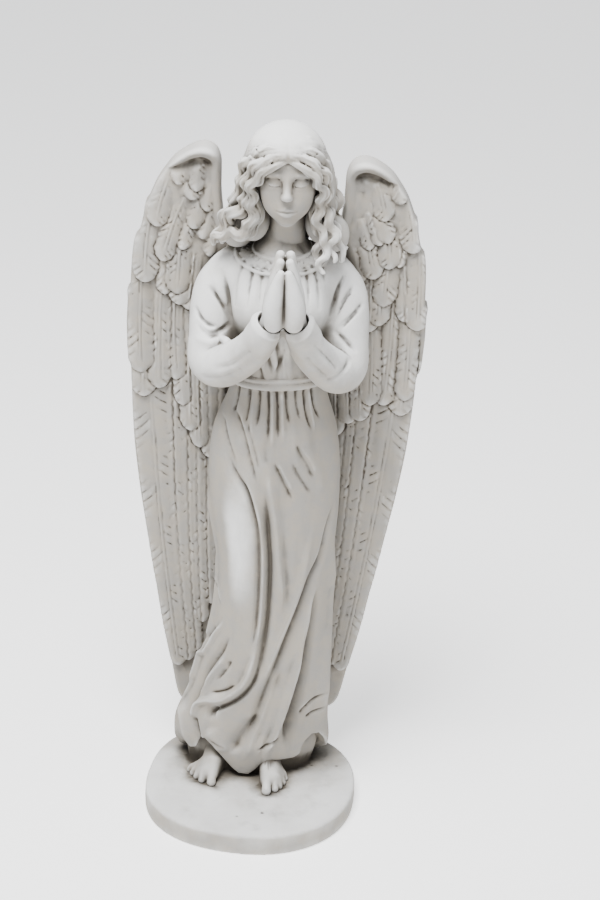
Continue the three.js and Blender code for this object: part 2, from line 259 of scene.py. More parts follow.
class Relief:
    def __init__(self, low, high, cell):
        self.low = np.array(low, float)
        self.cell = cell
        counts = np.ceil((np.array(high) - self.low) / cell).astype(int) + 1
        self.height = np.zeros(counts, np.float32)

    def window(self, low, high):
        start = np.clip(((low - self.low) / self.cell).astype(int), 0, self.height.shape)
        stop = np.clip(((high - self.low) / self.cell).astype(int) + 2, start, self.height.shape)
        slices = tuple(slice(a, b) for a, b in zip(start, stop))
        u, v = (self.low[k] + self.cell * np.arange(start[k], stop[k]) for k in range(2))
        return slices, u[:, None], v[None, :]

    def fold(self, line, widths, height, fade=0.25, power=2.0):
        # a fold along the line; widths are its spreads on the left and the right of its way
        path = smoothPath(line, 6)
        left, right = widths if isinstance(widths, (list, tuple)) else (widths, widths)
        reach = 2.6 * max(left, right)
        slices, u, v = self.window(path.min(0) - reach, path.max(0) + reach)
        if not self.height[slices].size:
            return
        nearest = np.full(self.height[slices].shape, 1e9)
        side = np.zeros_like(nearest)
        along = np.zeros_like(nearest)
        for i, (a, b) in enumerate(zip(path[:-1], path[1:])):
            ab = b - a
            t = np.clip(((u - a[0]) * ab[0] + (v - a[1]) * ab[1]) / max(ab @ ab, 1e-6), 0, 1)
            away = np.hypot(u - a[0] - t * ab[0], v - a[1] - t * ab[1])
            closer = away < nearest
            nearest = np.where(closer, away, nearest)
            side = np.where(closer, ab[0] * (v - a[1]) - ab[1] * (u - a[0]), side)
            along = np.where(closer, (i + t) / (len(path) - 1), along)
        spread = np.where(side > 0, left, right)
        ends = np.clip(np.minimum(along, 1 - along) / max(fade, 1e-3), 0, 1)
        ends = ends * ends * (3 - 2 * ends) if fade else 1.0
        spread = spread * (0.55 + 0.45 * ends)
        self.height[slices] += height * ends * np.exp(-(nearest / spread) ** power)

    def sample(self, u, v):
        fu = np.clip((u - self.low[0]) / self.cell, 0, self.height.shape[0] - 1.001)
        fv = np.clip((v - self.low[1]) / self.cell, 0, self.height.shape[1] - 1.001)
        iu, iv = fu.astype(np.int32), fv.astype(np.int32)
        tu, tv = fu - iu, fv - iv
        h = self.height
        return ((h[iu, iv] * (1 - tu) + h[iu + 1, iv] * tu) * (1 - tv)
                + (h[iu, iv + 1] * (1 - tu) + h[iu + 1, iv + 1] * tu) * tv)


def midline(z):
    return 4.5 + 0.02 * z  # the whole figure leans a little to one side


# the gown, with the trunk, sleeves and sash

gown = {
    # height, half width, half depth, sideways from the midline, y of the middle
    "stations": [
        [24, 104, 58, -8, 58],
        [70, 112, 60, -6, 56],
        [104, 110, 58, -7, 54],
        [156, 97, 56, 4, 50],
        [222, 86, 57, 9, 46],
        [303, 78, 59, 14, 44],
        [380, 80, 61, 15, 43],
        [458, 88, 61, 10, 44],
        [565, 83, 55, 6, 47],
        [632, 62, 42, 7, 48],
        [690, 61, 42, 4, 46],
        [740, 70, 47, 4, 45],
        [785, 78, 42, 3, 48],
        [806, 60, 36, 3, 48],
        [822, 34, 30, 4, 44],
        [834, 20, 20, 4, 40],
    ],
    "around": 85,  # the relief's map has this radius
    # x and height of the hem's lower edge, seen from the front
    "hem": [[-122, 100], [-108, 86], [-98, 75], [-87, 66], [-79, 70], [-72, 86], [-66, 90], [-54, 80],
            [-36, 58], [-26, 46], [-16, 37], [-2, 36], [6, 43], [15, 54], [32, 60], [50, 61], [63, 62],
            [70, 67], [77, 85], [87, 95], [97, 92], [105, 78], [112, 63], [120, 66]],
    "hemBack": 34,
    # on the right the hem curls up into an arch
    "archCentre": (93, 12, 75),
    "archSize": (19, 26, 17),
}


def gownAt(z):
    rows = gown["stations"]
    wide, deep, aside, middle = (through(rows, z, k) for k in (1, 2, 3, 4))
    return wide, deep, midline(z) + aside, middle


def unrolled(line, back=False):
    # [x, z] points seen from the front (or the back) on the gown's unrolled map,
    # where 0 is the middle of the front
    out = []
    for x, z in smoothPath(line, 12):
        wide, _, centre, _ = gownAt(np.array([z]))
        angle = math.asin(max(-1.0, min(1.0, (x - centre[0]) / wide[0])))
        out.append([gown["around"] * (math.pi - angle if back else angle), z])
    return out


gownFolds = [
    # path, spreads left and right of it, height (a hollow is negative)
    # the deep valley in the middle and the ridges beside it
    ([[6, 510], [12, 494], [17, 425], [20, 386], [20, 347], [19, 308], [16, 271], [11, 231],
      [2, 180]], (6, 7), -13),
    ([[-25, 527], [-11, 500], [2, 463], [9, 425], [12, 381], [11, 332], [8, 282], [2, 240]], (5, 4.5), 6.5),
    ([[-48, 558], [-30, 513], [-13, 488], [-3, 458], [2, 426], [4, 381], [4, 316], [0, 266],
      [-6, 232]], (6, 4), -7.5),
    ([[-4, 565], [14, 516], [22, 476], [29, 426], [34, 381], [38, 340], [36, 300]], (6, 9), 7),
    ([[38, 440], [42, 390], [46, 350], [46, 310]], (6, 9), -3.5),
    # belly
    ([[-36, 606], [-22, 575], [-8, 530], [2, 500]], (3, 5), -4),
    ([[-18, 596], [-8, 560], [4, 520]], (3, 4), -2.6),
    ([[48, 566], [58, 548], [69, 528], [76, 508]], (2.4, 4), -3.6),
    ([[44, 542], [54, 522], [66, 502], [75, 488]], (2.4, 4), -3.2),
    ([[20, 540], [30, 522], [40, 502], [50, 480]], (2.4, 4), -4),
    ([[54, 560], [66, 540], [76, 516]], (4, 4), 2),
    ([[26, 540], [36, 518], [48, 494]], (4, 4), 2),
    ([[60, 560], [80, 520], [84, 480]], (10, 10), 3),
    ([[-50, 590], [-40, 555], [-26, 520]], (3, 5), -3),
    # gathers below the sash, some of them long
    ([[11, 642], [13, 610], [13, 560]], (2.4, 3.4), -5),
    ([[22, 642], [25, 606], [27, 566]], (2.4, 3.4), -5),
    ([[34, 642], [37, 612], [42, 586]], (2.4, 3.4), -4.5),
    ([[16, 642], [18, 600], [19, 550]], (3.4, 4), 3),
    ([[29, 642], [31, 600], [34, 560]], (3.4, 4), 3),
    ([[47, 642], [50, 614], [56, 590]], (3, 3.4), -3),
    ([[58, 642], [63, 606], [72, 574]], (2.4, 3.6), -5),
    ([[67, 642], [73, 612], [82, 588]], (2.4, 3.6), -4.5),
    ([[62, 642], [68, 604], [76, 570]], (3, 3), 2.5),
    ([[0, 640], [0, 610], [-3, 580]], (2.6, 3.4), -3.5),
    ([[-12, 638], [-15, 606], [-20, 580]], (3, 4), -3.5),
    ([[-26, 638], [-30, 612], [-36, 590]], (3, 4), -3),
    ([[-6, 640], [-8, 600], [-10, 560]], (4, 4), 2),
    ([[8, 590], [10, 540], [14, 500]], (4, 6), -2.5),
    ([[44, 600], [48, 560], [50, 520]], (6, 8), 2),
    # folds that sweep from the right hip down to the left
    ([[108, 480], [98, 435], [91, 392], [77, 359], [64, 321], [51, 281], [35, 230], [20, 185], [2, 120],
      [-14, 66]], (7, 6), -10),
    ([[80, 450], [70, 400], [60, 345], [50, 300], [34, 250], [20, 200], [8, 150]], (8, 6), 5),
    ([[92, 363], [76, 323], [69, 284], [60, 240], [50, 195], [36, 145], [16, 90], [0, 52]], (6.5, 7), 8.5),
    ([[88, 350], [85, 314], [80, 280], [77, 247], [72, 210], [66, 172], [60, 138], [54, 108],
      [50, 70]], (8, 7.5), -15),
    ([[62, 262], [54, 222], [44, 180], [34, 140], [24, 104], [12, 66]], (4.5, 5), -7),
    ([[68, 268], [62, 225], [54, 182], [44, 140], [32, 100], [18, 58]], (4, 4.5), 6),
    ([[44, 230], [36, 190], [26, 150], [14, 112], [0, 74]], (6, 5), -7),
    ([[40, 205], [30, 165], [18, 128], [4, 92], [-10, 58]], (6, 6), 5),
    # broad smooth panel on the right
    ([[106, 430], [104, 330], [102, 230], [100, 140], [98, 90]], (16, 14), 8),
    # the thigh's outer edge and the cloth swept back from the knee to the left corner
    ([[-58, 380], [-52, 332], [-44, 300]], (3, 3), 2.5),
    ([[-62, 400], [-57, 360], [-51, 320], [-46, 290]], (4, 3), -2.5),
    ([[-34, 296], [-50, 262], [-64, 226], [-80, 190], [-98, 150], [-116, 104]], (5, 4), 6),
    ([[-52, 268], [-62, 244], [-72, 218]], (4, 4), -4),
    ([[-30, 268], [-46, 232], [-60, 204], [-76, 162], [-90, 112]], (5, 8), -6.5),
    ([[-34, 236], [-46, 212], [-58, 190], [-70, 160]], (4, 5), 4),
    ([[-28, 228], [-40, 204], [-52, 184]], (3, 4), -3.5),
    # the long curl that turns from the middle towards the left hem
    ([[8, 262], [2, 232], [-4, 206], [-12, 188], [-25, 172], [-41, 159], [-60, 152], [-74, 142],
      [-82, 124], [-88, 98]], (5.5, 6), 8.5),
    ([[10, 232], [3, 200], [-8, 178], [-24, 160], [-40, 148], [-54, 138], [-64, 130]], (4, 5), -8),
    ([[-50, 138], [-64, 132]], (9, 9), -8),
    ([[-22, 188], [-34, 177], [-47, 169], [-60, 164]], (2, 2.2), -4.5),
    ([[-62, 110], [-44, 90], [-30, 72]], (9, 12), 5),
    ([[12, 142], [-2, 120], [-18, 94], [-28, 70]], (6, 8), -8.5),
    ([[-84, 124], [-78, 96], [-73, 70]], (4, 4), -6),
    ([[-104, 130], [-96, 100], [-88, 66]], (8, 7), 5),
    # small creases near the hem
    ([[42, 102], [26, 90], [8, 80]], (2, 2.2), -4.5),
    ([[102, 164], [86, 155], [75, 142], [70, 128]], (2, 3), -4.5),
    ([[102, 138], [86, 134], [76, 127]], (2, 2.5), -3.5),
    ([[-60, 92], [-44, 84], [-34, 80]], (2.5, 3), -2.5),
]
gownBackFolds = [
    ([[-30, 600], [-38, 420], [-46, 240], [-60, 60]], (7, 7), -6),
    ([[2, 610], [0, 420], [-8, 240], [-16, 60]], (8, 8), -7),
    ([[24, 610], [26, 430], [30, 240], [30, 60]], (7, 7), -7),
    ([[54, 600], [60, 420], [70, 240], [78, 60]], (7, 7), -6),
    ([[-14, 600], [-18, 420], [-26, 240], [-38, 60]], (7, 7), 5),
    ([[40, 600], [44, 420], [50, 240], [56, 60]], (7, 7), 5),
    ([[13, 600], [13, 420], [12, 240], [8, 60]], (7, 7), 5),
    ([[-62, 520], [-66, 380], [-76, 230], [-92, 70]], (8, 8), 5),
    ([[82, 500], [88, 380], [98, 230], [108, 70]], (8, 8), 4),
]


def gownRelief():
    around = gown["around"]
    relief = Relief([-math.pi * around, 20], [1.6 * math.pi * around, 660], 1.2)
    for line, widths, height in gownFolds:
        relief.fold(unrolled(line), widths, height)
    for line, widths, height in gownBackFolds:
        relief.fold(unrolled(line, back=True), widths, height, fade=0.2)
    relief.height = np.tanh(relief.height / 26) * 26
    return relief


def sculptGown():
    clay = Clay([-134, -112, 22], [160, 140, 850], 1.5)
    relief = gownRelief()
    around = gown["around"]
    hem = np.array(gown["hem"], float)
    for start in range(0, clay.field.shape[2], 48):
        slices, x, y, z = clay.window([-200, -200, clay.low[2] + clay.voxel * start],
                                      [200, 200, clay.low[2] + clay.voxel * (start + 46.5)])
        wide, deep, centre, middle = (np.float32(v) for v in gownAt(z))
        dx, dy = (x - centre) / wide, (y - middle) / deep
        k0 = np.sqrt(dx * dx + dy * dy)
        k1 = np.sqrt((dx / wide)**2 + (dy / deep)**2)
        plain = k0 * (k0 - 1) / np.maximum(k1, 1e-6)
        cloth = plain.copy()
        near = np.abs(plain) < 34
        angle = np.arctan2(*np.broadcast_arrays(dx, -dy))[near]
        level = np.broadcast_to(z, plain.shape)[near]
        cloth[near] -= relief.sample(angle * around, level)
        cloth[near] -= np.where(angle < 0, relief.sample((angle + 2 * math.pi) * around, level), 0)
        if z.min() < 130:
            # the hem hangs over a plainer core that goes down into the base
            edge = np.interp(x, hem[:, 0], hem[:, 1])
            facing = np.clip(0.5 - dy * 1.6, 0, 1)
            edge = edge * facing + gown["hemBack"] * (1 - facing)
            cloth = -smoothMin(-cloth, z - edge, 5)
            cloth = np.minimum(cloth, np.maximum(plain + 17, z - 150))
        clay.put(slices, cloth, 0)
    clay.blob(gown["archCentre"], gown["archSize"], 4, cut=True)
    say("gown and its folds")
    return clay


# trunk, sash, sleeves and collar are added to the gown's clay

arms = {
    "centre": 23,  # the shoulders and elbows mirror about this x
    "handCentre": 29.5,  # and the cuffs and hands about this one
    # sideways offset, y, height, radius from the shoulder to the wrist
    "sleeve": [[58, 52, 790, 25], [80, 50, 764, 29], [86, 44, 735, 31], [87, 36, 700, 31],
               [88, 20, 670, 30], [74, 2, 668, 29], [52, -22, 688, 26], [36, -44, 712, 24],
               [22, -66, 744, 20.5]],
    "cuff": [19.5, -70, 753],
    "cuffWay": [-0.42, -0.42, 0.80],  # the way the forearm points, for the viewer's right arm
    "cuffRadius": 20,
    "creases": [
        # on the viewer's left arm: [x, z] points, width, depth
        ([[-69, 770], [-56, 754], [-42, 731]], 3, -5),
        ([[-53, 790], [-44, 762], [-40, 726]], 3, -5),
        ([[-88, 740], [-74, 723], [-54, 717]], 3.5, -5),
        ([[-66, 706], [-52, 714], [-39, 721]], 3.5, -5.5),
        ([[-86, 722], [-72, 711], [-58, 708]], 4, -2.5),
        ([[-60, 776], [-48, 750]], 4, 2),
        ([[-80, 700], [-62, 698], [-44, 706]], 5, 3),
        ([[-60, 676], [-36, 690], [-14, 716]], 4, -1.6),
        ([[-76, 656], [-50, 664], [-26, 684]], 4, -1.4),
        # and on the other
        ([[118, 776], [106, 756], [92, 728]], 3, -5.5),
        ([[106, 792], [97, 769], [91, 738]], 3, -5),
        ([[132, 752], [115, 735], [97, 716]], 3.2, -5.5),
        ([[112, 766], [100, 745], [93, 724]], 4, 2.5),
        ([[122, 744], [108, 728], [98, 712]], 4, 2.5),
        ([[95, 718], [112, 704], [124, 694]], 3.2, -4),
        ([[72, 731], [88, 705], [101, 684]], 3, -2.4),
        ([[62, 710], [80, 684], [96, 662]], 3.4, -1.8),
        ([[120, 690], [106, 676], [90, 668]], 4, -1.4),
    ],
}

trim = {
    "sashHeight": 640,
    "sashHalf": 7.5,
    "sashProud": 3.4,
    "collarCentre": (24, 38),
    # half width, half depth, height in front and behind
    "collarInner": (41, 30, 812, 840),
    "collarOuter": (60, 44, 797, 832),
}


plinth = {
    "halfWide": 149,
    "halfDeep": 143,
    "height": 31,
    "turned": -8,  # degrees
    "roundness": 2.3,  # 2 is an ellipse, more is squarer
    "edge": 5,  # how soft the upper edge is
    "chips": 26,
}


def sculptBase(clay):
    # an oval slab, a little uneven, with air holes and chips
    halfWide, halfDeep, height = plinth["halfWide"], plinth["halfDeep"], plinth["height"]
    turned = math.radians(plinth["turned"])
    slices, x, y, z = clay.window([-200, -200, -5], [200, 200, 50])
    cx, cy = x - 0.5, y - 1.5
    u = cx * math.cos(turned) + cy * math.sin(turned)
    v = -cx * math.sin(turned) + cy * math.cos(turned)
    angle = np.arctan2(v, u)
    uneven = 1 + 0.006 * np.sin(3 * angle + 0.8) + 0.004 * np.sin(5 * angle + 2)
    power = plinth["roundness"]
    radius = ((np.abs(u) / halfWide)**power + (np.abs(v) / halfDeep)**power)**(1 / power)
    outline = (radius / uneven - 1) * halfDeep + 0.04 * np.abs(z - 12)
    ripple = 0.22 * np.sin(u / 3.1 + 1.3 * np.sin(v / 7.0)) * np.sin(v / 2.9 + 1.1 * np.sin(u / 8.0))
    top = -smoothMin(-np.maximum(outline, -50), -(z - height - ripple), plinth["edge"])
    clay.put(slices, np.float32(np.maximum(top, -z)), 0)
    chips = np.random.default_rng(11)
    for _ in range(plinth["chips"]):
        a = chips.uniform(0, 2 * math.pi)
        size = chips.uniform(0.8, 2.0)
        if chips.random() < 0.6:  # on the rim, the others on the top
            far = 0.985 if chips.random() < 0.7 else 0.96
            spot = [halfWide * far * math.cos(a), halfDeep * far * math.sin(a), chips.uniform(4, 28)]
        else:
            far = chips.uniform(0.6, 0.95)
            spot = [halfWide * far * math.cos(a), halfDeep * far * math.sin(a), height]
        clay.blob(spot, [size * chips.uniform(1, 2.4), size, size * 0.8], 1, cut=True)


chestFolds = [
    # [x, z] points down the chest, width, depth
    ([[18, 716], [25, 676], [29, 650]], 3, -4.5),
    ([[44, 716], [52, 678], [61, 652]], 3, -4.5),
    ([[2, 706], [12, 672], [19, 652]], 3, -4),
    ([[66, 700], [74, 676], [84, 660]], 3, -4),
    ([[-2, 684], [-16, 670], [-32, 654]], 3, -3),
    ([[34, 720], [38, 676], [40, 650]], 4, 3),
    ([[10, 712], [20, 670]], 3.5, 2.5),
    ([[-12, 694], [0, 668], [4, 648]], 2.6, -4),
    ([[30, 690], [24, 664], [22, 648]], 2.6, -3.4),
    ([[54, 700], [62, 672], [70, 650]], 2.6, -3.4),
    ([[8, 700], [4, 670], [10, 650]], 3, 2),
    ([[60, 700], [66, 676], [76, 656]], 3, 2),
    ([[-9, 806], [-15, 785], [-19, 750]], 2.6, -2.6),
    ([[0, 804], [-2, 780], [-4, 750]], 3, -2),
    ([[52, 808], [58, 788], [61, 752]], 2.6, -2.6),
    ([[62, 808], [70, 786], [76, 752]], 2.6, -2.6),
    ([[74, 808], [80, 786]], 2.6, -2.4),
    ([[-24, 808], [-32, 784], [-36, 750]], 3, -2),
]


def sculptTrunk(clay):
    for side in (-1, 1):
        clay.blob([26 + side * 27, 22, 742], [30, 25, 32], 26)  # chest
        clay.blob([23 + side * 56, 52, 785], [34, 28, 26], 22)  # shoulder
        clay.blob([26 + side * 26, 84, 770], [34, 18, 40], 24)  # shoulder blade
    clay.limb([[26, 50, 800], [28, 46, 822], [29, 44, 840]], [36, 23, 14], 16)
    for line, width, depth in chestFolds:
        clay.stroke(line, width, depth, 3)


def sculptSash(clay):
    # a flat band with a line along its middle
    level, half, proud = trim["sashHeight"], trim["sashHalf"], trim["sashProud"]
    slices, x, y, z = clay.window([-70, -20, level - 20], [120, 120, level + 20])
    wide, deep, centre, middle = (np.float32(v) for v in gownAt(z))
    dx, dy = (x - centre) / wide, (y - middle) / deep
    k0 = np.sqrt(dx * dx + dy * dy)
    plain = k0 * (k0 - 1) / np.maximum(np.sqrt((dx / wide)**2 + (dy / deep)**2), 1e-6)
    above = z - level - 0.03 * (x - 25)
    line = 1.3 * np.exp(-((above - 1.5) / 1.5)**2)
    band = -smoothMin(-(plain - proud + line), half - np.abs(above), 3)
    clay.put(slices, np.float32(band), 1.5)


def sculptSleeves(clay):
    for side in (-1, 1):
        points, radii = [], []
        for k, (aside, y, z, r) in enumerate(arms["sleeve"]):
            t = max(0.0, (k - 4) / 4)
            centre = arms["centre"] * (1 - t) + arms["handCentre"] * t
            points.append([centre + side * aside, y, z - (3 if side > 0 and k in (3, 4, 5) else 0)])
            radii.append(r)
        clay.limb(points, radii, 9, spacing=4)
        x, y, z = arms["cuff"]
        end = np.array([arms["handCentre"] + side * x, y, z], float)
        way = np.array([side * arms["cuffWay"][0], arms["cuffWay"][1], arms["cuffWay"][2]])
        way /= np.linalg.norm(way)
        across = np.cross(way, [0, 1, 0.2])
        across /= np.linalg.norm(across)
        upward = np.cross(across, way)
        clay.limb([end - 22 * way, end - 2 * way], [20, arms["cuffRadius"] + 1], 6)
        clay.limb([end - 9 * way, end + 30 * way], [15.5, 18.5], 3, cut=True)
        rim = []
        for k in range(25):  # a soft wavy rim round the cuff
            a = k * math.pi / 12
            r = arms["cuffRadius"] + 0.9 * math.sin(3 * a + 1)
            sway = 1.6 * math.sin(2 * a + side)
            rim.append(end + r * (math.cos(a) * across + math.sin(a) * upward) + way * (sway - 1))
        clay.limb(rim, 2.2, 2.5, spacing=4)
    middle = arms["handCentre"]
    clay.limb([[middle, -96, 750], [middle, -88, 728], [middle, -74, 702]], [2, 7, 10], 2, cut=True)
    clay.limb([[middle, -78, 746], [middle, -68, 724], [middle, -56, 702]], [4, 8, 12], 2, cut=True)
    for line, width, depth in arms["creases"]:
        clay.stroke(line, width, depth, 3)


def sculptCollar(clay):
    # a flat band round the neck, with a raised rim on both sides and scrolls between
    inner, outer = trim["collarInner"], trim["collarOuter"]
    turn = np.radians(np.arange(-210, 31, 6.0))

    def ring(share, lift):
        # share 0 is the neckline and 1 the outer edge; it can vary along the ring
        rx, ry, front, back = (inner[k] + (outer[k] - inner[k]) * share for k in range(4))
        x = trim["collarCentre"][0] + rx * np.cos(turn)
        y = trim["collarCentre"][1] + ry * np.sin(turn)
        z = front + (back - front) * (0.5 + 0.5 * np.sin(turn))
        return clay.snap(np.stack([x, y, z], 1), lift)

    band = ring(0.5, -6.5)
    edges = [(ring(share, 0.5), size) for share, size in ((0.0, 2.2), (0.2, 1.1), (0.82, 1.1), (1.0, 2.4))]
    wave = ring(0.5 + 0.17 * np.sin(turn * 26), 0.9)
    buds = [ring(0.5 + sway, 0.9) for sway in (-0.2, 0.2)]
    clay.limb(band, 8.5, 3)
    for points, size in edges:
        clay.limb(points, size, 1.5)
    clay.limb(clay.snap(wave, 0.2), 1.0, 1.0, spacing=2)
    for k, points in enumerate(buds):
        for point in clay.snap(points, 0.2)[k::2]:
            clay.blob(point, [1.6, 1.6, 1.6], 1)


# feet

feet = {
    # ankle, ball of the foot and the toes' tips, big toe first; heights above the base
    "left": {"ankle": [-50, 26], "ball": [-60, 0],
             "toes": [[-54, -28, 6.4], [-68, -20, 4.8], [-76, -11, 4.5], [-82, -2, 4.2], [-87, 7, 4.0]]},
    "right": {"ankle": [26, 30], "ball": [31, -14],
              "toes": [[25, -46, 6.6], [37, -37, 4.9], [43, -29, 4.6], [48, -19, 4.3], [51, -8, 4.1]]},
    "ground": 31,
}


def sculptFeet(clay):
    ground = feet["ground"]
    for name in ("left", "right"):
        foot = feet[name]
        ax, ay = foot["ankle"]
        bx, by = foot["ball"]
        toes = foot["toes"]
        instep = [[ax, ay + 14, ground + 40], [ax, ay, ground + 24], [bx, by, ground + 11]]
        clay.limb(instep, [17, 17, 13], 8)
        for k, (x, y, r) in enumerate(toes):
            # each toe has its own bone in the instep, a knuckle and a soft tip
            root = np.array([ax + (x - ax) * 0.45, ay - 4 + (y - ay) * 0.3, ground + 22 - 2.2 * k])
            knuckle = np.array([ax + (x - ax) * 0.86, ay + (y - ay) * 0.72, ground + 11.5 - 1.0 * k])
            tip = np.array([x, y + r, ground + r * 0.82])
            clay.limb([root, knuckle], [r * 1.6, r * 1.18], 4.5)
            middle = (knuckle + tip) / 2 + [0, 0, 2.2]
            clay.limb([knuckle, middle, tip], [r * 1.1, r * 0.95, r], 1.6, spacing=2)
            way = (tip - knuckle) / np.linalg.norm(tip - knuckle)
            nail = tip + [0, 0, r * 0.86] + way * r * 0.15
            clay.limb([nail - way * 1.6, nail + way * 1.4], r * 0.42, 0.8)
        clay.limb([[ax, ay, ground + 6], [bx, by, ground + 5]], [14, 15], 6)


# hands, palm to palm

hands = {
    "centre": (30, -86),
    # forward, height of the tip, radius: ring finger, middle and index
    "fingers": [(-6, 850, 5.4), (2, 858, 5.6), (10, 852, 5.2)],
}


def sculptHands(clay):
    cx, cy = hands["centre"]
    for side in (-1, 1):
        def at(aside, forward, height):
            return [cx + side * aside, cy + forward, height]

        x, y, z = arms["cuff"]
        inside = [arms["handCentre"] + side * (x + 5), y + 4, z - 14]
        clay.limb([inside, at(15, 10, 764), at(14, 6, 782)], [12.5, 13, 13], 6)
        # the heel of the hand runs up into the little finger
        heel = [at(12.5, -3, 764), at(13.4, -6, 784), at(10.6, -11, 806), at(7.2, -14, 824),
                at(4.9, -15.5, 833)]
        clay.limb(heel, [12, 13, 10.2, 6.8, 4.8], 1.5, spacing=3)
        clay.limb([at(14, 4, 776), at(14, 3, 800), at(11, 1, 820)], [13, 11, 8], 2.5)
        for forward, top, r in hands["fingers"]:
            bone = [at(14, forward + 3, 800), at(11.2, forward + 1.5, 822),
                    at(r + 0.6, forward - 1.5, top - r)]
            clay.limb(bone, [8.4, 7.4, r], 0.9, spacing=3)
        clay.limb([at(9, 14, 780), at(9, 22, 800), at(6, 22, 822)], [8, 6.4, 4.8], 3)  # thumb
    clay.limb([[cx, cy + 2, 766], [cx, cy + 4, 815], [cx, cy + 6, 846]], [9, 7, 3], 3)
    # the line where the palms meet
    clay.limb([[cx, cy - 21, 756], [cx, cy - 20.5, 790], [cx, cy - 20, 815], [cx, cy - 18.5, 834]],
              [3.2, 3.2, 2.6, 1.2], 2, cut=True, spacing=3)


# wings: a height map over span (sideways from the midline) and height

wings = {
    "front": 92,  # y of the feathers' base
    "back": 118,
    "sweep": 20,  # the lower end swings back
    "drop": 13,  # the viewer's right wing sits lower at its top
    # the outline, from the tip up the outer edge, over the top and down the inner edge
    "outer": [[104, 84], [110, 88], [117, 98], [122, 117], [128, 150], [135, 184], [144, 229], [152, 283],
              [159, 322], [166, 368], [173, 412], [179, 452], [187, 518], [191, 580], [193, 630],
              [198, 646], [200, 690], [199, 726], [200, 740], [196, 744], [194, 786], [191, 812],
              [186, 818], [180, 844], [178, 860], [174, 865], [164, 889], [151, 909], [138, 924],
              [116, 937], [100, 939], [88, 932], [82, 918], [81, 900]],
    "inner": [[81, 900], [80, 872], [74, 834], [62, 812], [40, 800], [14, 790], [12, 640], [30, 420],
              [58, 240], [84, 130], [96, 92], [104, 84]],
    # the rim: span, height, half width and how far it stands out
    "rim": [[148, 911, 3, 16], [138, 919, 7, 20], [122, 930, 10, 24], [106, 934, 11, 26], [93, 930, 11, 25],
            [86, 918, 10, 20], [87, 898, 13, 16.5], [84, 868, 14, 16], [78, 838, 13, 15], [62, 812, 13, 14],
            [40, 800, 14, 11]],
}

# feathers in rows from the lowest layer up: tip span and height, root span and height,
# half width near the tip and at the root, and how far it bows outwards
primaries = [
    [66, 300, 70, 660, 9, 12, 2], [74, 258, 84, 660, 9, 13, 4], [85, 226, 100, 660, 10, 13, 5],
    [94, 176, 118, 660, 11, 15, 5], [104, 160, 134, 660, 12, 17, 6], [117, 152, 170, 660, 14, 30, 5],
]
feathers = {
    -1: [  # the viewer's left
        primaries,
        [[68, 470, 78, 660, 11, 11, 0], [82, 497, 90, 680, 12, 12, 1], [96, 512, 104, 700, 13, 12, 2],
         [109, 537, 116, 720, 14, 12, 3], [174, 588, 176, 760, 18, 16, 3], [121, 575, 126, 740, 12, 11, 3],
         [131, 613, 136, 770, 14, 12, 3], [153, 600, 152, 780, 15, 13, 3], [179, 624, 180, 790, 18, 15, 2]],
        [[96, 700, 90, 800, 12, 10, 2], [106, 706, 100, 810, 12, 11, 2], [117, 714, 108, 820, 14, 12, 2],
         [130, 721, 119, 840, 16, 13, 2], [149, 736, 150, 850, 11, 10, 2], [133, 737, 126, 850, 17, 14, 2],
         [176, 753, 164, 880, 18, 15, 4]],
        [[93, 790, 84, 840, 9, 8, 1], [103, 814, 86, 866, 11, 9, 1], [129, 799, 108, 860, 11, 10, 2],
         [154, 783, 120, 884, 14, 11, 4], [115, 828, 102, 880, 12, 10, 1], [163, 831, 142, 908, 16, 12, 4]],
        [[98, 852, 90, 900, 10, 8, 1], [117, 867, 112, 916, 15, 12, 2], [136, 888, 126, 926, 12, 9, 2],
         [112, 879, 108, 922, 10, 9, 1]],
    ],
    1: [
        primaries,
        [[70, 520, 64, 660, 13, 11, 0], [88, 540, 78, 680, 14, 12, 1], [174, 577, 172, 740, 18, 15, 2],
         [105, 560, 90, 700, 14, 12, 1], [120, 565, 112, 720, 15, 12, 1], [150, 591, 152, 770, 14, 12, 3],
         [132, 590, 125, 730, 14, 12, 2], [178, 601, 175, 780, 14, 13, 2]],
        [[112, 690, 104, 800, 12, 10, 2], [124, 700, 118, 810, 13, 11, 2], [136, 710, 130, 830, 15, 12, 2],
         [172, 718, 156, 840, 14, 12, 3], [140, 739, 142, 850, 17, 14, 2], [187, 707, 176, 860, 17, 15, 4]],
        [[108, 770, 92, 830, 12, 10, 1], [158, 797, 155, 860, 8, 8, 1], [126, 778, 104, 860, 16, 12, 2],
         [145, 794, 136, 862, 16, 13, 2], [176, 819, 156, 908, 20, 15, 4]],
        [[118, 820, 104, 862, 10, 9, 1], [131, 827, 114, 872, 10, 9, 2], [142, 831, 120, 886, 12, 10, 2],
         [136, 861, 122, 912, 15, 11, 1], [156, 886, 142, 922, 14, 11, 2]],
    ],
}
layers = [
    # how far each row stands out, the lift of its tips, camber, and spacing of the barbs
    (0, 3, 3.4, 14), (3, 4.2, 3.4, 12), (6, 4.2, 3.2, 9), (9, 3.8, 3, 8), (11.5, 3.2, 2.6, 7),
]


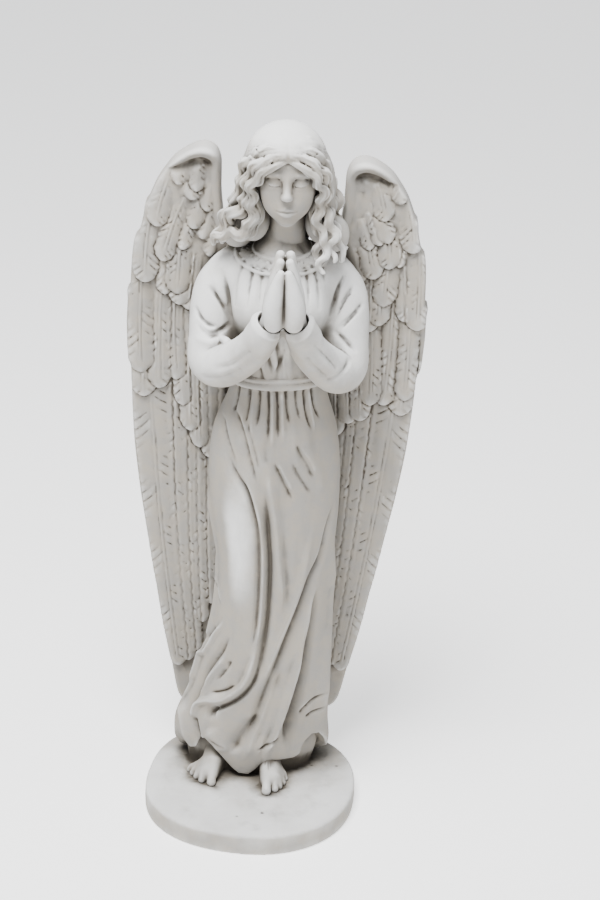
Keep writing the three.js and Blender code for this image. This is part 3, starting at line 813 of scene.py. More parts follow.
def placeFeather(relief, layer, order, tip, root, halfTip, halfRoot, bow):
    base, lift, camber, barbs = layer
    tip, root = np.array(tip, float), np.array(root, float)
    length = np.linalg.norm(root - tip)
    way = (root - tip) / length
    aside = np.array([way[1], -way[0]])  # outwards
    reach = max(halfTip, halfRoot) + bow + 6
    slices, s, z = relief.window(np.minimum(tip, root) - reach, np.maximum(tip, root) + reach)
    up = (s - tip[0]) * way[0] + (z - tip[1]) * way[1]
    t = np.clip(up / length, 0, 1)
    across = (s - tip[0]) * aside[0] + (z - tip[1]) * aside[1] - bow * 4 * t * (1 - t)
    half = halfTip + (halfRoot - halfTip) * t
    rounded = np.sqrt(np.clip(1 - (1 - np.clip(up / (halfTip * 1.25), 0, 1))**2, 0, 1))
    uneven = 0.5 * np.sin(up * 0.33 + tip[0]) + 0.3 * np.sin(up * 0.71 + tip[1])
    half = half * rounded + uneven * np.clip(up / 10, 0, 1)
    inside = (up > 0) & (up < length) & (np.abs(across) < half)
    share = np.abs(across) / np.maximum(half, 1)
    edge = np.sqrt(np.clip(np.minimum(half - np.abs(across), up * 2) / 4.5, 0, 1))
    vane = base + 0.6 * order + lift * (1 - t)**1.5
    vane = vane + camber * (1 - share**2.2) * (0.3 + 0.7 * edge)
    # the shaft: a thin raised line between two cuts
    fade = np.clip((up - 10) / 12, 0, 1) * np.clip((1.15 - t) * 2, 0, 1) * (1 if halfTip > 12.5 else 0.35)
    beside = np.exp(-((np.abs(across) - 2.6) / 0.9)**2)
    vane = vane + fade * (0.7 * np.exp(-(across / 1.3)**2) - 1.2 * beside)
    # barbs slant down from the shaft, and some of them part
    slant = up + 1.1 * np.abs(across) - 0.012 * across**2
    phase = slant / barbs + 0.37 * (across > 0)
    whole = np.floor(phase)
    cut = np.abs(phase - whole - 0.5) * barbs
    deep = np.abs(np.sin(whole * 12.9898 + tip[0] * 78.2 + 4 * (across > 0)))**2
    reached = np.clip((share - 0.85 + 0.8 * deep) * 4, 0, 1)
    vane = vane - (0.5 + 1.9 * deep) * reached * np.exp(-(cut / 1.1)**2) * np.clip(up / 6, 0, 1)
    vane = vane + 0.14 * np.sin(slant * 2 * math.pi / 2.9) * np.clip(share * 3, 0, 1)
    # a groove in what lies under the feather's edge
    off = np.abs(across) - np.maximum(half, 1.5)
    below = np.clip((up + 3) / 3, 0, 1) * np.clip((length * 0.9 - up) / 10, 0, 1)
    old = relief.height[slices] - 2.2 * below * np.exp(-((off - 0.8) / 1.5)**2)
    relief.height[slices] = np.where(inside, np.maximum(old, vane), old)


def wingRelief(side):
    relief = Relief([0, 70], [215, 950], 0.7)
    _, s, z = relief.window(np.array([-50, 0]), np.array([400, 1200]))
    height = relief.height
    for layer, row in zip(layers, feathers[side]):
        for order, numbers in enumerate(row):
            placeFeather(relief, layer, order * 4 / len(row), numbers[:2], numbers[2:4], *numbers[4:])
    # what shows between the feathers' roots, and small worn ones at the top
    filled = np.interp(z, [640, 700, 760, 830, 870, 930], [-5, 4.5, 8, 11, 13, 14])
    height[:] = np.maximum(height, filled + 0.5 * np.sin(s * 0.45 + z * 0.1) * np.sin(z * 0.3 - s * 0.08))
    # a bare rounded rim over the top, rolled forward over a hollow, runs down into the shoulder
    path = smoothPath(wings["rim"], 5)
    away = np.full(height.shape, 1e9)
    thick = np.ones(height.shape)
    tall = np.zeros(height.shape)
    for a, b in zip(path[:-1], path[1:]):
        ab = b - a
        t = np.clip(((s - a[0]) * ab[0] + (z - a[1]) * ab[1]) / max(ab[:2] @ ab[:2], 1e-6), 0, 1)
        d = np.hypot(s - a[0] - t * ab[0], z - a[1] - t * ab[1])
        closer = d < away
        away = np.where(closer, d, away)
        thick = np.where(closer, a[2] + t * ab[2], thick)
        tall = np.where(closer, a[3] + t * ab[3], tall)
    roll = tall * np.sqrt(np.clip(1 - (away / thick)**2, 0, 1))
    hollow = 6 * np.exp(-((away - thick * 1.3) / 6)**2) * np.clip((tall - 15) / 6, 0, 1)
    height[:] = np.maximum(height - hollow, roll)
    return relief


def insidePolygon(s, z, loop):
    # signed distance to a closed outline, negative inside it
    inside = np.zeros(np.broadcast(s, z).shape, bool)
    distance = np.full(inside.shape, 1e9)
    for a, b in zip(loop, np.roll(loop, -1, axis=0)):
        ab = b - a
        t = np.clip(((s - a[0]) * ab[0] + (z - a[1]) * ab[1]) / max(ab @ ab, 1e-6), 0, 1)
        distance = np.minimum(distance, np.hypot(s - a[0] - t * ab[0], z - a[1] - t * ab[1]))
        if a[1] != b[1]:
            crosses = ((a[1] > z) != (b[1] > z)) & (s < (b[0] - a[0]) * (z - a[1]) / (b[1] - a[1]) + a[0])
            inside ^= crosses
    return np.where(inside, -distance, distance)


def sculptWing(side, relief):
    clay = Clay([min(side * 5, side * 212), 58, 74], [max(side * 5, side * 212) + 24, 150, 948], 1.25)
    loop = np.vstack([smoothPath(wings["outer"], 8)[:-1], smoothPath(wings["inner"], 8)[:-1]])
    x = clay.low[0] + clay.voxel * np.arange(clay.field.shape[0])[:, None]
    z = clay.low[2] + clay.voxel * np.arange(clay.field.shape[2])[None, :]
    drop = wings["drop"] * np.clip((z - 400) / 420, 0, 1) if side > 0 else 0 * z
    tall = z + drop
    span = side * (x - midline(z))
    outline = insidePolygon(span, tall, loop)
    lift = relief.sample(span, np.broadcast_to(tall, span.shape))
    swing = np.clip((450 - z) / 330, 0, 1)
    swing = wings["sweep"] * swing * swing * (3 - 2 * swing)
    cupped = 9 * np.clip((span - 70) / 130, 0, 1)**2
    front = wings["front"] + swing - cupped - lift
    upper = np.clip((z - 600) / 250, 0, 1)
    back = wings["back"] + swing - cupped * 0.8 - 5 * upper - 6 * np.clip((300 - z) / 200, 0, 1)
    y = (clay.low[1] + clay.voxel * np.arange(clay.field.shape[1]))[None, :, None]
    plate = -smoothMin(-(front[:, None, :] - y), -(y - back[:, None, :]), 2)
    clay.field[:] = -smoothMin(-plate, -outline[:, None, :], 6)
    # the back shows long plain feathers, only hinted at
    for k in range(5):
        aside = 60 + 24 * k
        line = [[midline(300) + side * (aside * 0.62 + 34), 200],
                [midline(450) + side * (aside * 0.9 + 12), 430],
                [midline(650) + side * (aside * 1.0 + 2), 660]]
        clay.stroke(line, 2.6, -1.8, 3, back=True)
    return clay


# head: calm, with lowered lids, in its own frame of u sideways, v away and w up

head = {
    "centre": (29, 14, 929),
    "nod": 6,  # degrees
    "eyes": 15.5,  # from the middle
}
nod = math.radians(head["nod"])
headTurn = np.array([[1, 0, 0], [0, math.cos(nod), -math.sin(nod)], [0, math.sin(nod), math.cos(nod)]])


def onHead(u, v, w):
    return headTurn @ np.array([u, v, w], float) + head["centre"]


def sculptHead(clay):
    def mass(u, v, w, radii, blend, cut=False):
        clay.blob(onHead(u, v, w), radii, blend, headTurn, cut)

    def line(points, radii, blend, cut=False):
        clay.limb([onHead(*p) for p in points], radii, blend, cut, spacing=2)

    def skin(points, lift):
        return clay.snap(smoothPath([onHead(*p) for p in points], 1.5), lift)

    clay.limb([[29, 54, 794], [29, 44, 828], [30, 32, 862], [29, 26, 900]], [34, 25, 22.5, 25], 8)
    mass(0, 8, 14, [39, 46, 40], 0)
    mass(0, -8, 20, [35, 34, 33], 12)  # forehead
    mass(0, -10, -12, [34, 31, 38], 12)
    mass(0, -12, -34, [26, 28, 26], 14)  # jaw
    mass(0, -33, -51, [11, 10, 9.5], 11)  # chin
    line([[0, -20, -50], [0, -4, -56], [0, 12, -62]], [8, 13, 17], 8)  # throat
    eyeU = head["eyes"]
    for side in (-1, 1):
        mass(side * 19, -23, -16, [14, 15, 15], 12)  # cheek
        mass(side * 14, -25, -33, [12, 12, 13], 12)
        mass(side * eyeU, -48.5, 0, [12, 10, 7], 9, cut=True)  # socket
        mass(side * 8.6, -46, 0.5, [3.2, 5.5, 6], 7, cut=True)  # beside the bridge
        brow = [[side * 6, -39.5, 8.5], [side * 15, -39.8, 12], [side * 27, -33, 9]]
        line(brow, [1.5, 2.2, 1.8], 9)
        mass(side * eyeU, -29.6, -1, [10.8, 11.2, 8.8], 2.5)  # the ball under the lid
    # nose: a slim bridge that widens into the tip, its sides sloping to the cheeks
    line([[0, -35.5, 12], [0, -40, 4], [0, -43.8, -5], [0, -47, -13]], [4.2, 3.7, 4.1, 4.8], 8)
    line([[0, -42, 8], [0, -46, -4], [0, -51, -14]], [1.6, 1.9, 2.6], 6)
    mass(0, -50.4, -15.6, [4.2, 4.2, 3.7], 5)
    for side in (-1, 1):
        mass(side * 4.2, -46, -17, [2.9, 4.4, 3], 4)
        mass(side * 2.7, -48.6, -20.6, [1.3, 2.2, 1.2], 1.5, cut=True)
    # mouth: two soft lips laid on a low mound
    mass(0, -31, -36, [17, 11, 12.5], 12)
    upper = skin([[-12, -42, -36.6], [-6, -45, -34.4], [-2.2, -47, -33.2], [0, -47, -34], [2.2, -47, -33.2],
                  [6, -45, -34.4], [12, -42, -36.6]], -0.9)
    clay.limb(upper, 0.9 + 1.3 * np.sin(np.linspace(0, math.pi, len(upper))), 1.8, spacing=50)
    lower = skin([[-9.5, -42, -38.8], [-5, -45, -41], [0, -46, -41.8], [5, -45, -41],
                  [9.5, -42, -38.8]], -1.0)
    clay.limb(lower, 1.0 + 1.8 * np.sin(np.linspace(0, math.pi, len(lower))), 2, spacing=50)
    slit = skin([[-12.8, -42, -36.3], [-6.5, -46, -37.0], [0, -47, -37.6], [6.5, -46, -37.0],
                 [12.8, -42, -36.3]], 0.2)
    clay.limb(slit, 1.15, 1, cut=True, spacing=50)
    for side in (-1, 1):
        lid, fold = [], []
        for k in range(9):
            a = math.radians(-64 + 16 * k)
            u = side * (eyeU + 0.3) + 10.4 * math.sin(a)
            sag = math.cos(a) - 0.44
            depth = -40.9 + 6.2 * (math.sin(a)**2) + (1.4 if side * math.sin(a) > 0.6 else 0)
            lid.append([u, depth, -2.2 - 4.8 * sag])
            fold.append([u, depth + 1.6 * sag, 3.4 + 4.4 * sag])
        line([[u, v + 1.0, w + 1.4] for u, v, w in lid], 1.2, 2.5)  # the lid's edge
        line([[u, v + 0.3, w - 0.3] for u, v, w in lid], 0.9, 0.9, cut=True)
        line([[u, v - 0.3, w] for u, v, w in fold], 0.7, 2, cut=True)
        line([[u, v + 2.4, w - 2.4] for u, v, w in lid[1:-1]], 1.2, 4)  # lower lid
    say("head")


# hair: a smooth cap, parted in the middle, and wavy locks down to the shoulders

hair = {
    "cap": (52, 55, 49),
    "strands": 9,
    "wave": (3.0, 29),  # how far each lock sways, and over what length
    # x, y, height and radius along each lock, from the parting down
    "locks": [
        # the viewer's left
        [[28, -30, 955, 3], [14, -33, 949, 5], [-5, -28, 936, 7], [-15, -18, 917, 7], [-15, -10, 897, 7],
         [-14, -6, 878, 8], [-18, -6, 862, 8], [-30, -2, 850, 8], [-47, 8, 846, 7], [-60, 18, 838, 5.5],
         [-67, 24, 827, 3]],
        [[27, -28, 963, 3], [8, -29, 956, 6], [-12, -20, 941, 8], [-21, -8, 923, 8], [-20, -3, 903, 9],
         [-24, 0, 887, 9], [-36, 2, 876, 9], [-45, 10, 863, 8], [-44, 14, 848, 6]],
        [[24, -24, 971, 3], [2, -20, 965, 7], [-16, -8, 950, 8], [-26, 4, 932, 9], [-27, 8, 914, 9],
         [-34, 12, 898, 9], [-38, 18, 880, 9], [-49, 24, 864, 8], [-55, 28, 846, 7], [-62, 32, 828, 4]],
        [[4, -4, 978, 3], [-9, 8, 962, 8], [-18, 18, 944, 9], [-24, 26, 924, 9], [-30, 30, 906, 9],
         [-34, 34, 886, 9], [-42, 38, 866, 9], [-46, 44, 844, 8], [-54, 46, 822, 5]],
        [[-6, 34, 956, 5], [-14, 42, 936, 9], [-20, 48, 912, 9], [-28, 54, 886, 10], [-34, 58, 858, 10],
         [-40, 62, 832, 9], [-44, 64, 806, 5]],
        [[-12, -6, 900, 6], [-6, 0, 880, 7], [-10, 2, 864, 7], [-20, 6, 850, 7], [-32, 14, 840, 5]],
        # the viewer's right
        [[30, -30, 955, 3], [45, -33, 949, 5], [63, -28, 935, 7], [72, -18, 916, 7], [72, -10, 897, 7],
         [68, -7, 880, 7], [71, -8, 863, 6], [78, -12, 849, 5.5], [79, -15, 834, 5], [74, -17, 820, 4],
         [75, -19, 806, 2.5]],
        [[31, -28, 963, 3], [52, -29, 956, 6], [69, -20, 940, 8], [77, -8, 922, 8], [76, -3, 904, 9],
         [76, -2, 888, 8], [84, -4, 870, 7], [90, -6, 852, 6], [86, -9, 836, 5], [91, -10, 820, 3]],
        [[34, -24, 971, 3], [57, -20, 964, 7], [71, -8, 949, 8], [73, 4, 931, 9], [77, 8, 912, 9],
         [78, 10, 895, 9], [79, 12, 878, 8], [87, 12, 862, 7], [95, 10, 846, 5.5], [98, 8, 831, 5],
         [104, 8, 816, 3]],
        [[54, -4, 978, 3], [64, 8, 962, 8], [71, 18, 944, 9], [73, 26, 924, 9], [77, 30, 906, 9],
         [79, 32, 886, 9], [80, 34, 868, 9], [87, 34, 850, 8], [97, 34, 834, 6], [104, 32, 822, 3]],
        [[63, 34, 956, 5], [70, 42, 936, 9], [74, 48, 912, 9], [80, 54, 886, 10], [86, 58, 858, 10],
         [90, 62, 832, 9], [94, 64, 806, 5]],
        [[70, -6, 900, 6], [64, 0, 880, 7], [67, 2, 864, 7], [73, 4, 848, 6], [70, 2, 832, 5],
         [66, 0, 818, 3]],
    ],
    # filling under the locks: centre and radii
    "core": [
        ((-16, 20, 905), (18, 26, 46)), ((75, 20, 903), (15, 26, 46)), ((-14, 26, 862), (22, 18, 30)),
        ((72, 26, 862), (20, 18, 30)), ((-34, 40, 842), (22, 16, 24)), ((90, 40, 840), (20, 16, 24)),
    ],
}


def growLock(clay, points, strands, random):
    path = smoothPath(points, 3)
    steps = np.linalg.norm(np.diff(path[:, :3], axis=0), axis=1)
    run = np.concatenate([[0], np.cumsum(steps)])
    tangent = np.gradient(path[:, :3], axis=0)
    tangent /= np.linalg.norm(tangent, axis=1)[:, None]
    across = np.cross(tangent, [0.15, -1.0, 0.25])
    across /= np.linalg.norm(across, axis=1)[:, None]
    out = np.cross(across, tangent)
    thick = path[:, 3]
    sway, length = hair["wave"]
    start = random.uniform(0, 6)
    swing = sway * np.sin(run * 2 * math.pi / length + start) * np.clip((run - 25) / 30, 0, 1)
    lift = 0.6 * sway * np.cos(run * 2 * math.pi / length + start) * np.clip((run - 25) / 30, 0, 1)
    path[:, :3] += across * swing[:, None] + out * lift[:, None]
    clay.limb(path[:, :3], thick * 0.7, 3, spacing=50)
    for k in range(strands):
        a = 2 * math.pi * k / strands + random.uniform(-0.25, 0.25)
        twist = a + run * random.uniform(0.010, 0.020)
        reach = thick * random.uniform(0.68, 0.82)
        loose = 0.9 * np.sin(run / 7.0 + 5 * a) * np.clip(run / 40, 0, 1)
        centre = (path[:, :3] + across * (reach * np.cos(twist) + loose)[:, None]
                  + out * (reach * 0.85 * np.sin(twist))[:, None])
        clay.limb(centre, np.maximum(thick * random.uniform(0.18, 0.30), 1.0), 0.3, spacing=50)


def sculptHair(clay):
    random = np.random.default_rng(3)
    clay.blob(onHead(-3, 9, 12), hair["cap"], 0, headTurn)
    clay.blob(onHead(0, -17, 36), [35, 26, 19], 8, headTurn)  # the roll above the forehead
    for centre, radii in hair["core"]:
        clay.blob(centre, radii, 8)
    # the face stays open below the hairline
    clay.blob(onHead(0, -50, -14), [36, 34, 48], 4, headTurn, cut=True)
    clay.blob(onHead(0, -34, -50), [37, 40, 40], 4, headTurn, cut=True)
    brow = [onHead(side * u, v, w) for side, u, v, w in
            ((-1, 31, -20, 26), (-1, 15, -35, 34), (1, 0, -38, 37), (1, 15, -35, 34), (1, 31, -20, 26))]
    clay.limb(brow, 7.5, 3)
    for points in hair["locks"]:
        growLock(clay, points, hair["strands"], random)
    # fine strands fanning down from the parting, over the band above the face
    for side in (-1, 1):
        for k in range(12):
            high = 36.5 + 1.6 * k
            sag = random.uniform(-1, 1)
            for cut in (False, True):
                shift = 0.9 if cut else 0
                start = onHead(side * 0.8, -47 + 1.1 * k, high + shift)
                middle = onHead(side * (13 + 1.1 * k), -43 + 2.0 * k, high - 5 + 0.1 * k + shift + sag)
                far = onHead(side * (27 + 1.2 * k), -34 + 2.6 * k, high - 17 + 0.6 * k + shift)
                end = onHead(side * (38 + 0.9 * k), -18 + 2.6 * k, high - 33 + 1.2 * k + shift + sag)
                path = clay.snap(smoothPath([start, middle, far, end], 3), 0.3 if cut else -0.5)
                wide = (1.1 if cut else 1.7) * np.clip(np.linspace(0.5, 3.2, len(path)), 0.5, 1)
                clay.limb(path, wide, 0.7, cut=cut, spacing=50)
    parting = clay.snap(smoothPath([onHead(0, -46, 35), onHead(0, -40, 44), onHead(0, -30, 54)], 4), 0.4)
    clay.limb(parting, np.linspace(2.0, 0.8, len(parting)), 1.2, cut=True, spacing=50)
    # the back falls in long waves between the shoulder blades
    for k in range(9):
        x = -30 + 15 * k
        lean = (x - 30) * 0.12
        rows = [[28 + (x - 30) * 0.35, 58, 966, 5], [28 + (x - 30) * 0.6, 70 - abs(x - 30) * 0.2, 936, 9]]
        for j, z in enumerate((908, 882, 856, 830, 806)):
            wider = (0.75, 0.85, 0.95, 1, 1)[j]
            aside = 30 + (x - 30) * wider + lean + (4 if j % 2 else -4)
            rows.append([aside, 74 - abs(x - 30) * 0.14 + 3 * (j % 2), z, 9.5 - 1.2 * max(0, j - 1)])
        growLock(clay, rows, 5, random)
    clay.limb([[29, 44, 940], [29, 48, 890], [29, 50, 840]], [34, 24, 24], 4)
    say("hair")


# everything is joined into one piece of stone

def largestOnly(piece):
    # drops the skins of closed pockets left inside by the joining
    made = piece.data
    edges = np.empty(2 * len(made.edges), np.int32)
    made.edges.foreach_get("vertices", edges)
    edges = edges.reshape(-1, 2)
    label = np.arange(len(made.vertices))
    while True:
        lower = np.minimum(label[edges[:, 0]], label[edges[:, 1]])
        new = label.copy()
        np.minimum.at(new, edges[:, 0], lower)
        np.minimum.at(new, edges[:, 1], lower)
        new = new[new]
        if np.array_equal(new, label):
            break
        label = new
    names, counts = np.unique(label, return_counts=True)
    stray = np.nonzero(label != names[counts.argmax()])[0]
    if len(stray):
        work = bmesh.new()
        work.from_mesh(made)
        work.verts.ensure_lookup_table()
        bmesh.ops.delete(work, geom=[work.verts[i] for i in stray], context="VERTS")
        work.to_mesh(made)
        work.free()
    say(f"{len(names) - 1} inner skins dropped")


def unite(pieces):
    whole = pieces[0]
    for other in pieces[1:]:
        join = whole.modifiers.new("join", "BOOLEAN")
        join.operation = "UNION"
        join.solver = "MANIFOLD"
        join.object = other
        applyModifiers(whole)
        gone = other.data
        bpy.data.objects.remove(other)
        bpy.data.meshes.remove(gone)
    say(f"joined: {len(whole.data.polygons)} faces")
    largestOnly(whole)
    return whole


# how sheltered each spot is, from the clay seen at a few scales; the stone turns it into dirt, painted
# shade and painted light from above

class Grid:
    def __init__(self, clays, low, high, step):
        self.low, self.step = np.array(low, float), step
        counts = np.ceil((np.array(high) - self.low) / step).astype(int) + 1
        self.solid = np.zeros(counts, np.float32)
        for clay in clays:
            axes = []
            for k in range(3):
                spots = self.low[k] + step * np.arange(counts[k])
                i = np.round((spots - clay.low[k]) / clay.voxel).astype(int)
                good = np.nonzero((i >= 0) & (i < clay.field.shape[k]))[0]
                axes.append((good, i[good]))
            if min(len(good) for good, _ in axes):
                here = np.ix_(*(good for good, _ in axes))
                there = clay.field[np.ix_(*(i for _, i in axes))]
                self.solid[here] = np.maximum(self.solid[here], np.clip(0.5 - there / step, 0, 1))

    def blurred(self, radius):
        n = max(1, int(round(radius / self.step)))
        out = self.solid
        for _ in range(2):
            for axis in range(3):
                edges = [(n + 1, n) if k == axis else (0, 0) for k in range(3)]
                total = np.cumsum(np.pad(out, edges), axis=axis, dtype=np.float32)
                size = out.shape[axis]
                upper = np.take(total, np.arange(2 * n + 1, 2 * n + 1 + size), axis=axis)
                out = (upper - np.take(total, np.arange(size), axis=axis)) / (2 * n + 1)
        return out

    def skylight(self):
        # light from a few directions above, let down through the block layer by layer
        total = np.zeros(self.solid.shape, np.float32)
        ways = [(0, 0), (0, -1), (0.9, -0.5), (-0.9, -0.5), (0, -2.0), (0, 0.9), (1.6, 0), (-1.6, 0)]
        for wayX, wayY in ways:
            light = np.ones(self.solid.shape[:2], np.float32)
            driftX = driftY = 0.0
            for k in range(self.solid.shape[2] - 1, -1, -1):
                total[:, :, k] += light
                light = light * (1 - self.solid[:, :, k])
                driftX += wayX
                driftY += wayY
                stepX, stepY = int(driftX), int(driftY)
                driftX -= stepX
                driftY -= stepY
                if stepX or stepY:
                    light = np.roll(light, (-stepX, -stepY), (0, 1))
                    light[:abs(stepX) + 1] = light[-abs(stepX) - 1:] = 1
                    light[:, :abs(stepY) + 1] = light[:, -abs(stepY) - 1:] = 1
        return total / len(ways)

    def sample(self, values, points):
        f = np.clip((points - self.low) / self.step, 0, np.array(values.shape) - 1.001)
        i = f.astype(int)
        t = f - i
        out = np.zeros(len(points))
        for corner in range(8):
            bits = np.array([corner & 1, corner >> 1 & 1, corner >> 2 & 1])
            out += np.prod(np.where(bits, t, 1 - t), axis=1) * values[tuple((i + bits).T)]
        return out


# the bend, shelter and sky of each vertex; the stone turns them into dirt with painted shade in the hollows
# and painted light on the open tops
def weatherAndShade(piece, clays):
    made = piece.data
    count = len(made.vertices)
    points = np.empty(count * 3, np.float32)
    made.vertices.foreach_get("co", points)
    points = points.reshape(-1, 3).astype(float) * 1000
    normals = np.empty(count * 3, np.float32)
    made.vertices.foreach_get("normal", normals)
    normals = normals.reshape(-1, 3).astype(float)
    edges = np.empty(2 * len(made.edges), np.int32)
    made.edges.foreach_get("vertices", edges)
    a, b = edges.reshape(-1, 2).T

    def spread(values, rounds):
        for _ in range(rounds):
            total = np.bincount(a, values[b], count) + np.bincount(b, values[a], count)
            near = np.bincount(a, minlength=count) + np.bincount(b, minlength=count)
            values = 0.4 * values + 0.6 * total / np.maximum(near, 1)
        return values

    # bend: how much the neighbours rise over a vertex, per mm
    way = points[b] - points[a]
    away = np.maximum(np.linalg.norm(way, axis=1), 0.05)
    rise = (np.bincount(a, (way * normals[a]).sum(1) / away, count)
            - np.bincount(b, (way * normals[b]).sum(1) / away, count))
    near = np.bincount(a, minlength=count) + np.bincount(b, minlength=count)
    crease = spread(rise / np.maximum(near, 1), 2)
    grid = Grid(clays, [-196, -156, -6], [232, 156, 1008], 2.5 * coarser)
    small = grid.sample(grid.blurred(5), points + 1.5 * normals)
    large = grid.sample(grid.blurred(15), points + 4 * normals)
    # sky: open to the sky, more so on faces turned up; the stone makes these spots paler, partly as washed
    # stone, partly as painted light from above
    sky = spread(grid.sample(grid.skylight(), points + 5 * normals) * (0.58 + 0.42 * normals[:, 2]), 3)
    levels = {
        "crease": crease * 1.6,
        "cavity": (small - 0.40) * 2.6,
        "hollow": (large - 0.36) * 2.4,
        "sky": sky,
    }
    for name, values in levels.items():
        data = made.attributes.new(name, "FLOAT", "POINT")
        data.data.foreach_set("value", np.clip(values, -1, 1).astype(np.float32))
    say("weathering")


# stone

stone = {
    "pale": (0.74, 0.74, 0.73),
    "warm": (0.33, 0.30, 0.255),
    "grey": (0.30, 0.285, 0.26),
    "stain": (0.16, 0.145, 0.12),
    # the dark colour for creases and hollows: partly dirt, partly painted shade
    "dirtAndShade": (0.055, 0.045, 0.033),
    "sleeves": 0.35,  # how much paler the sleeves and the knee are: partly cleaner stone, partly a painted highlight
    "knee": 0.5,
    "behind": 0.6,  # how much of the stain the wings keep
    "grain": 0.35,
}


def castStone():
    material = bpy.data.materials.new("castStone")
    material.use_nodes = True
    nodes, links = material.node_tree.nodes, material.node_tree.links
    shader = nodes["Principled BSDF"]

    def plug(value, socket):
        if isinstance(value, (int, float, tuple)):
            socket.default_value = (*value, 1) if isinstance(value, tuple) and len(value) == 3 else value
        else:
            links.new(value, socket)

    def sums(kind, one, two=0.0, clamp=False):
        node = nodes.new("ShaderNodeMath")
        node.operation = kind
        node.use_clamp = clamp
        plug(one, node.inputs[0])
        plug(two, node.inputs[1])
        return node.outputs[0]

    def ramp(value, low, high):
        node = nodes.new("ShaderNodeMapRange")
        node.interpolation_type = "SMOOTHSTEP"
        plug(value, node.inputs["Value"])
        plug(low, node.inputs["From Min"])
        plug(high, node.inputs["From Max"])
        return node.outputs["Result"]

    def mixed(share, one, two):
        node = nodes.new("ShaderNodeMix")
        node.data_type = "RGBA"
        plug(share, node.inputs["Factor"])
        plug(one, node.inputs["A"])
        plug(two, node.inputs["B"])
        return node.outputs["Result"]

    def level(name):
        node = nodes.new("ShaderNodeAttribute")
        node.attribute_name = name
        return node.outputs["Fac"]

    where = nodes.new("ShaderNodeTexCoord").outputs["Object"]

    def noise(scale, detail=4.0, rough=0.6, stretch=None):
        node = nodes.new("ShaderNodeTexNoise")
        node.inputs["Scale"].default_value = scale
        node.inputs["Detail"].default_value = detail
        node.inputs["Roughness"].default_value = rough
        if stretch:
            mapping = nodes.new("ShaderNodeMapping")
            mapping.inputs["Scale"].default_value = stretch
            links.new(where, mapping.inputs["Vector"])
            links.new(mapping.outputs["Vector"], node.inputs["Vector"])
        else:
            links.new(where, node.inputs["Vector"])
        return node.outputs["Fac"]

    clouds = noise(14, 5)
    blotches = noise(46, 4)
    speckle = noise(420, 3, 0.7)
    streaks = noise(30, 4, 0.6, (1, 1, 0.16))
    place = nodes.new("ShaderNodeSeparateXYZ")
    links.new(where, place.inputs[0])
    x, y, z = (place.outputs[k] for k in "XYZ")

    def between(value, low, high, soft):
        return sums("MULTIPLY", ramp(value, low - soft, low + soft), ramp(value, high + soft, high - soft))

    # paler where the sky reaches it and on faces turned up, stained where it doesn't: partly washed stone,
    # partly painted light from above
    behind = ramp(y, 0.058, 0.08)
    front = sums("SUBTRACT", 1.0, behind)
    # the sleeves and the knee are made paler: partly cleaner stone, partly a painted highlight
    sleeves = sums("MULTIPLY", between(z, 0.625, 0.835, 0.03), front)
    knee = sums("MULTIPLY", between(x, -0.052, -0.006, 0.018), between(z, 0.33, 0.49, 0.06))
    knee = sums("MULTIPLY", knee, ramp(y, 0.015, -0.005))
    washedAndLit = sums("ADD", level("sky"), sums("MULTIPLY", sums("SUBTRACT", clouds, 0.5), 0.5))
    washedAndLit = sums("ADD", washedAndLit, sums("MULTIPLY", sleeves, stone["sleeves"]))
    washedAndLit = sums("ADD", washedAndLit, sums("MULTIPLY", knee, stone["knee"]))
    washedAndLit = ramp(washedAndLit, 0.38, 1.0)
    base = mixed(ramp(blotches, 0.35, 0.65), stone["warm"], stone["grey"])
    colour = mixed(washedAndLit, base, stone["pale"])
    # the wings stand behind and keep more of their stain
    colour = mixed(sums("MULTIPLY", behind, stone["behind"]), colour, base)
    run = ramp(sums("ADD", streaks, sums("MULTIPLY", level("hollow"), 0.5)), 0.50, 0.85)
    colour = mixed(sums("MULTIPLY", run, 0.4), colour, stone["stain"])
    # dark colour in the creases and hollows: partly dirt, partly painted shade
    rough = sums("MULTIPLY", sums("SUBTRACT", blotches, 0.5), 0.5)
    crease = ramp(sums("ADD", level("crease"), sums("MULTIPLY", rough, 0.2)), 0.0, 0.22)
    cavity = ramp(sums("ADD", level("cavity"), rough), 0.12, 0.75)
    hollow = ramp(sums("ADD", level("hollow"), rough), 0.12, 0.85)
    soiledAndShaded = sums("MAXIMUM", sums("MULTIPLY", crease, 0.9), sums("MULTIPLY", cavity, 0.8))
    soiledAndShaded = sums("MAXIMUM", soiledAndShaded, sums("MULTIPLY", hollow, 0.8), clamp=True)
    colour = mixed(soiledAndShaded, colour, stone["dirtAndShade"])
    # raised edges stay light: partly wear, partly a painted highlight
    wornAndHighlit = ramp(sums("MULTIPLY", level("crease"), -1.0), 0.04, 0.30)
    colour = mixed(sums("MULTIPLY", wornAndHighlit, 0.45), colour, stone["pale"])
    specks = ramp(speckle, 0.62, 0.74)
    colour = mixed(sums("MULTIPLY", specks, 0.3), colour, stone["stain"])
    links.new(colour, shader.inputs["Base Color"])
    gloss = sums("ADD", 0.78, sums("MULTIPLY", speckle, 0.2))
    links.new(gloss, shader.inputs["Roughness"])
    shader.inputs["Specular IOR Level"].default_value = 0.25

    pits = sums("MULTIPLY", ramp(noise(260, 3, 0.6), 0.62, 0.75), -1.0)
    surface = sums("ADD", sums("MULTIPLY", noise(700, 3, 0.65), 0.5), sums("MULTIPLY", noise(120, 4), 0.6))
    surface = sums("ADD", surface, sums("MULTIPLY", pits, 0.7))
    bump = nodes.new("ShaderNodeBump")
    bump.inputs["Strength"].default_value = stone["grain"]
    bump.inputs["Distance"].default_value = 0.0009
    links.new(surface, bump.inputs["Height"])
    links.new(bump.outputs["Normal"], shader.inputs["Normal"])
    return material


# triangles left in each region before they are joined, and in the whole statue
detail = {
    "gown": 110000,
    "slab": 16000,
    "feet": 14000,
    "head": 30000,
    "hair": 60000,
    "hands": 16000,
    "wing-1": 46000,
    "wing1": 46000,
    "whole": 194000,
}


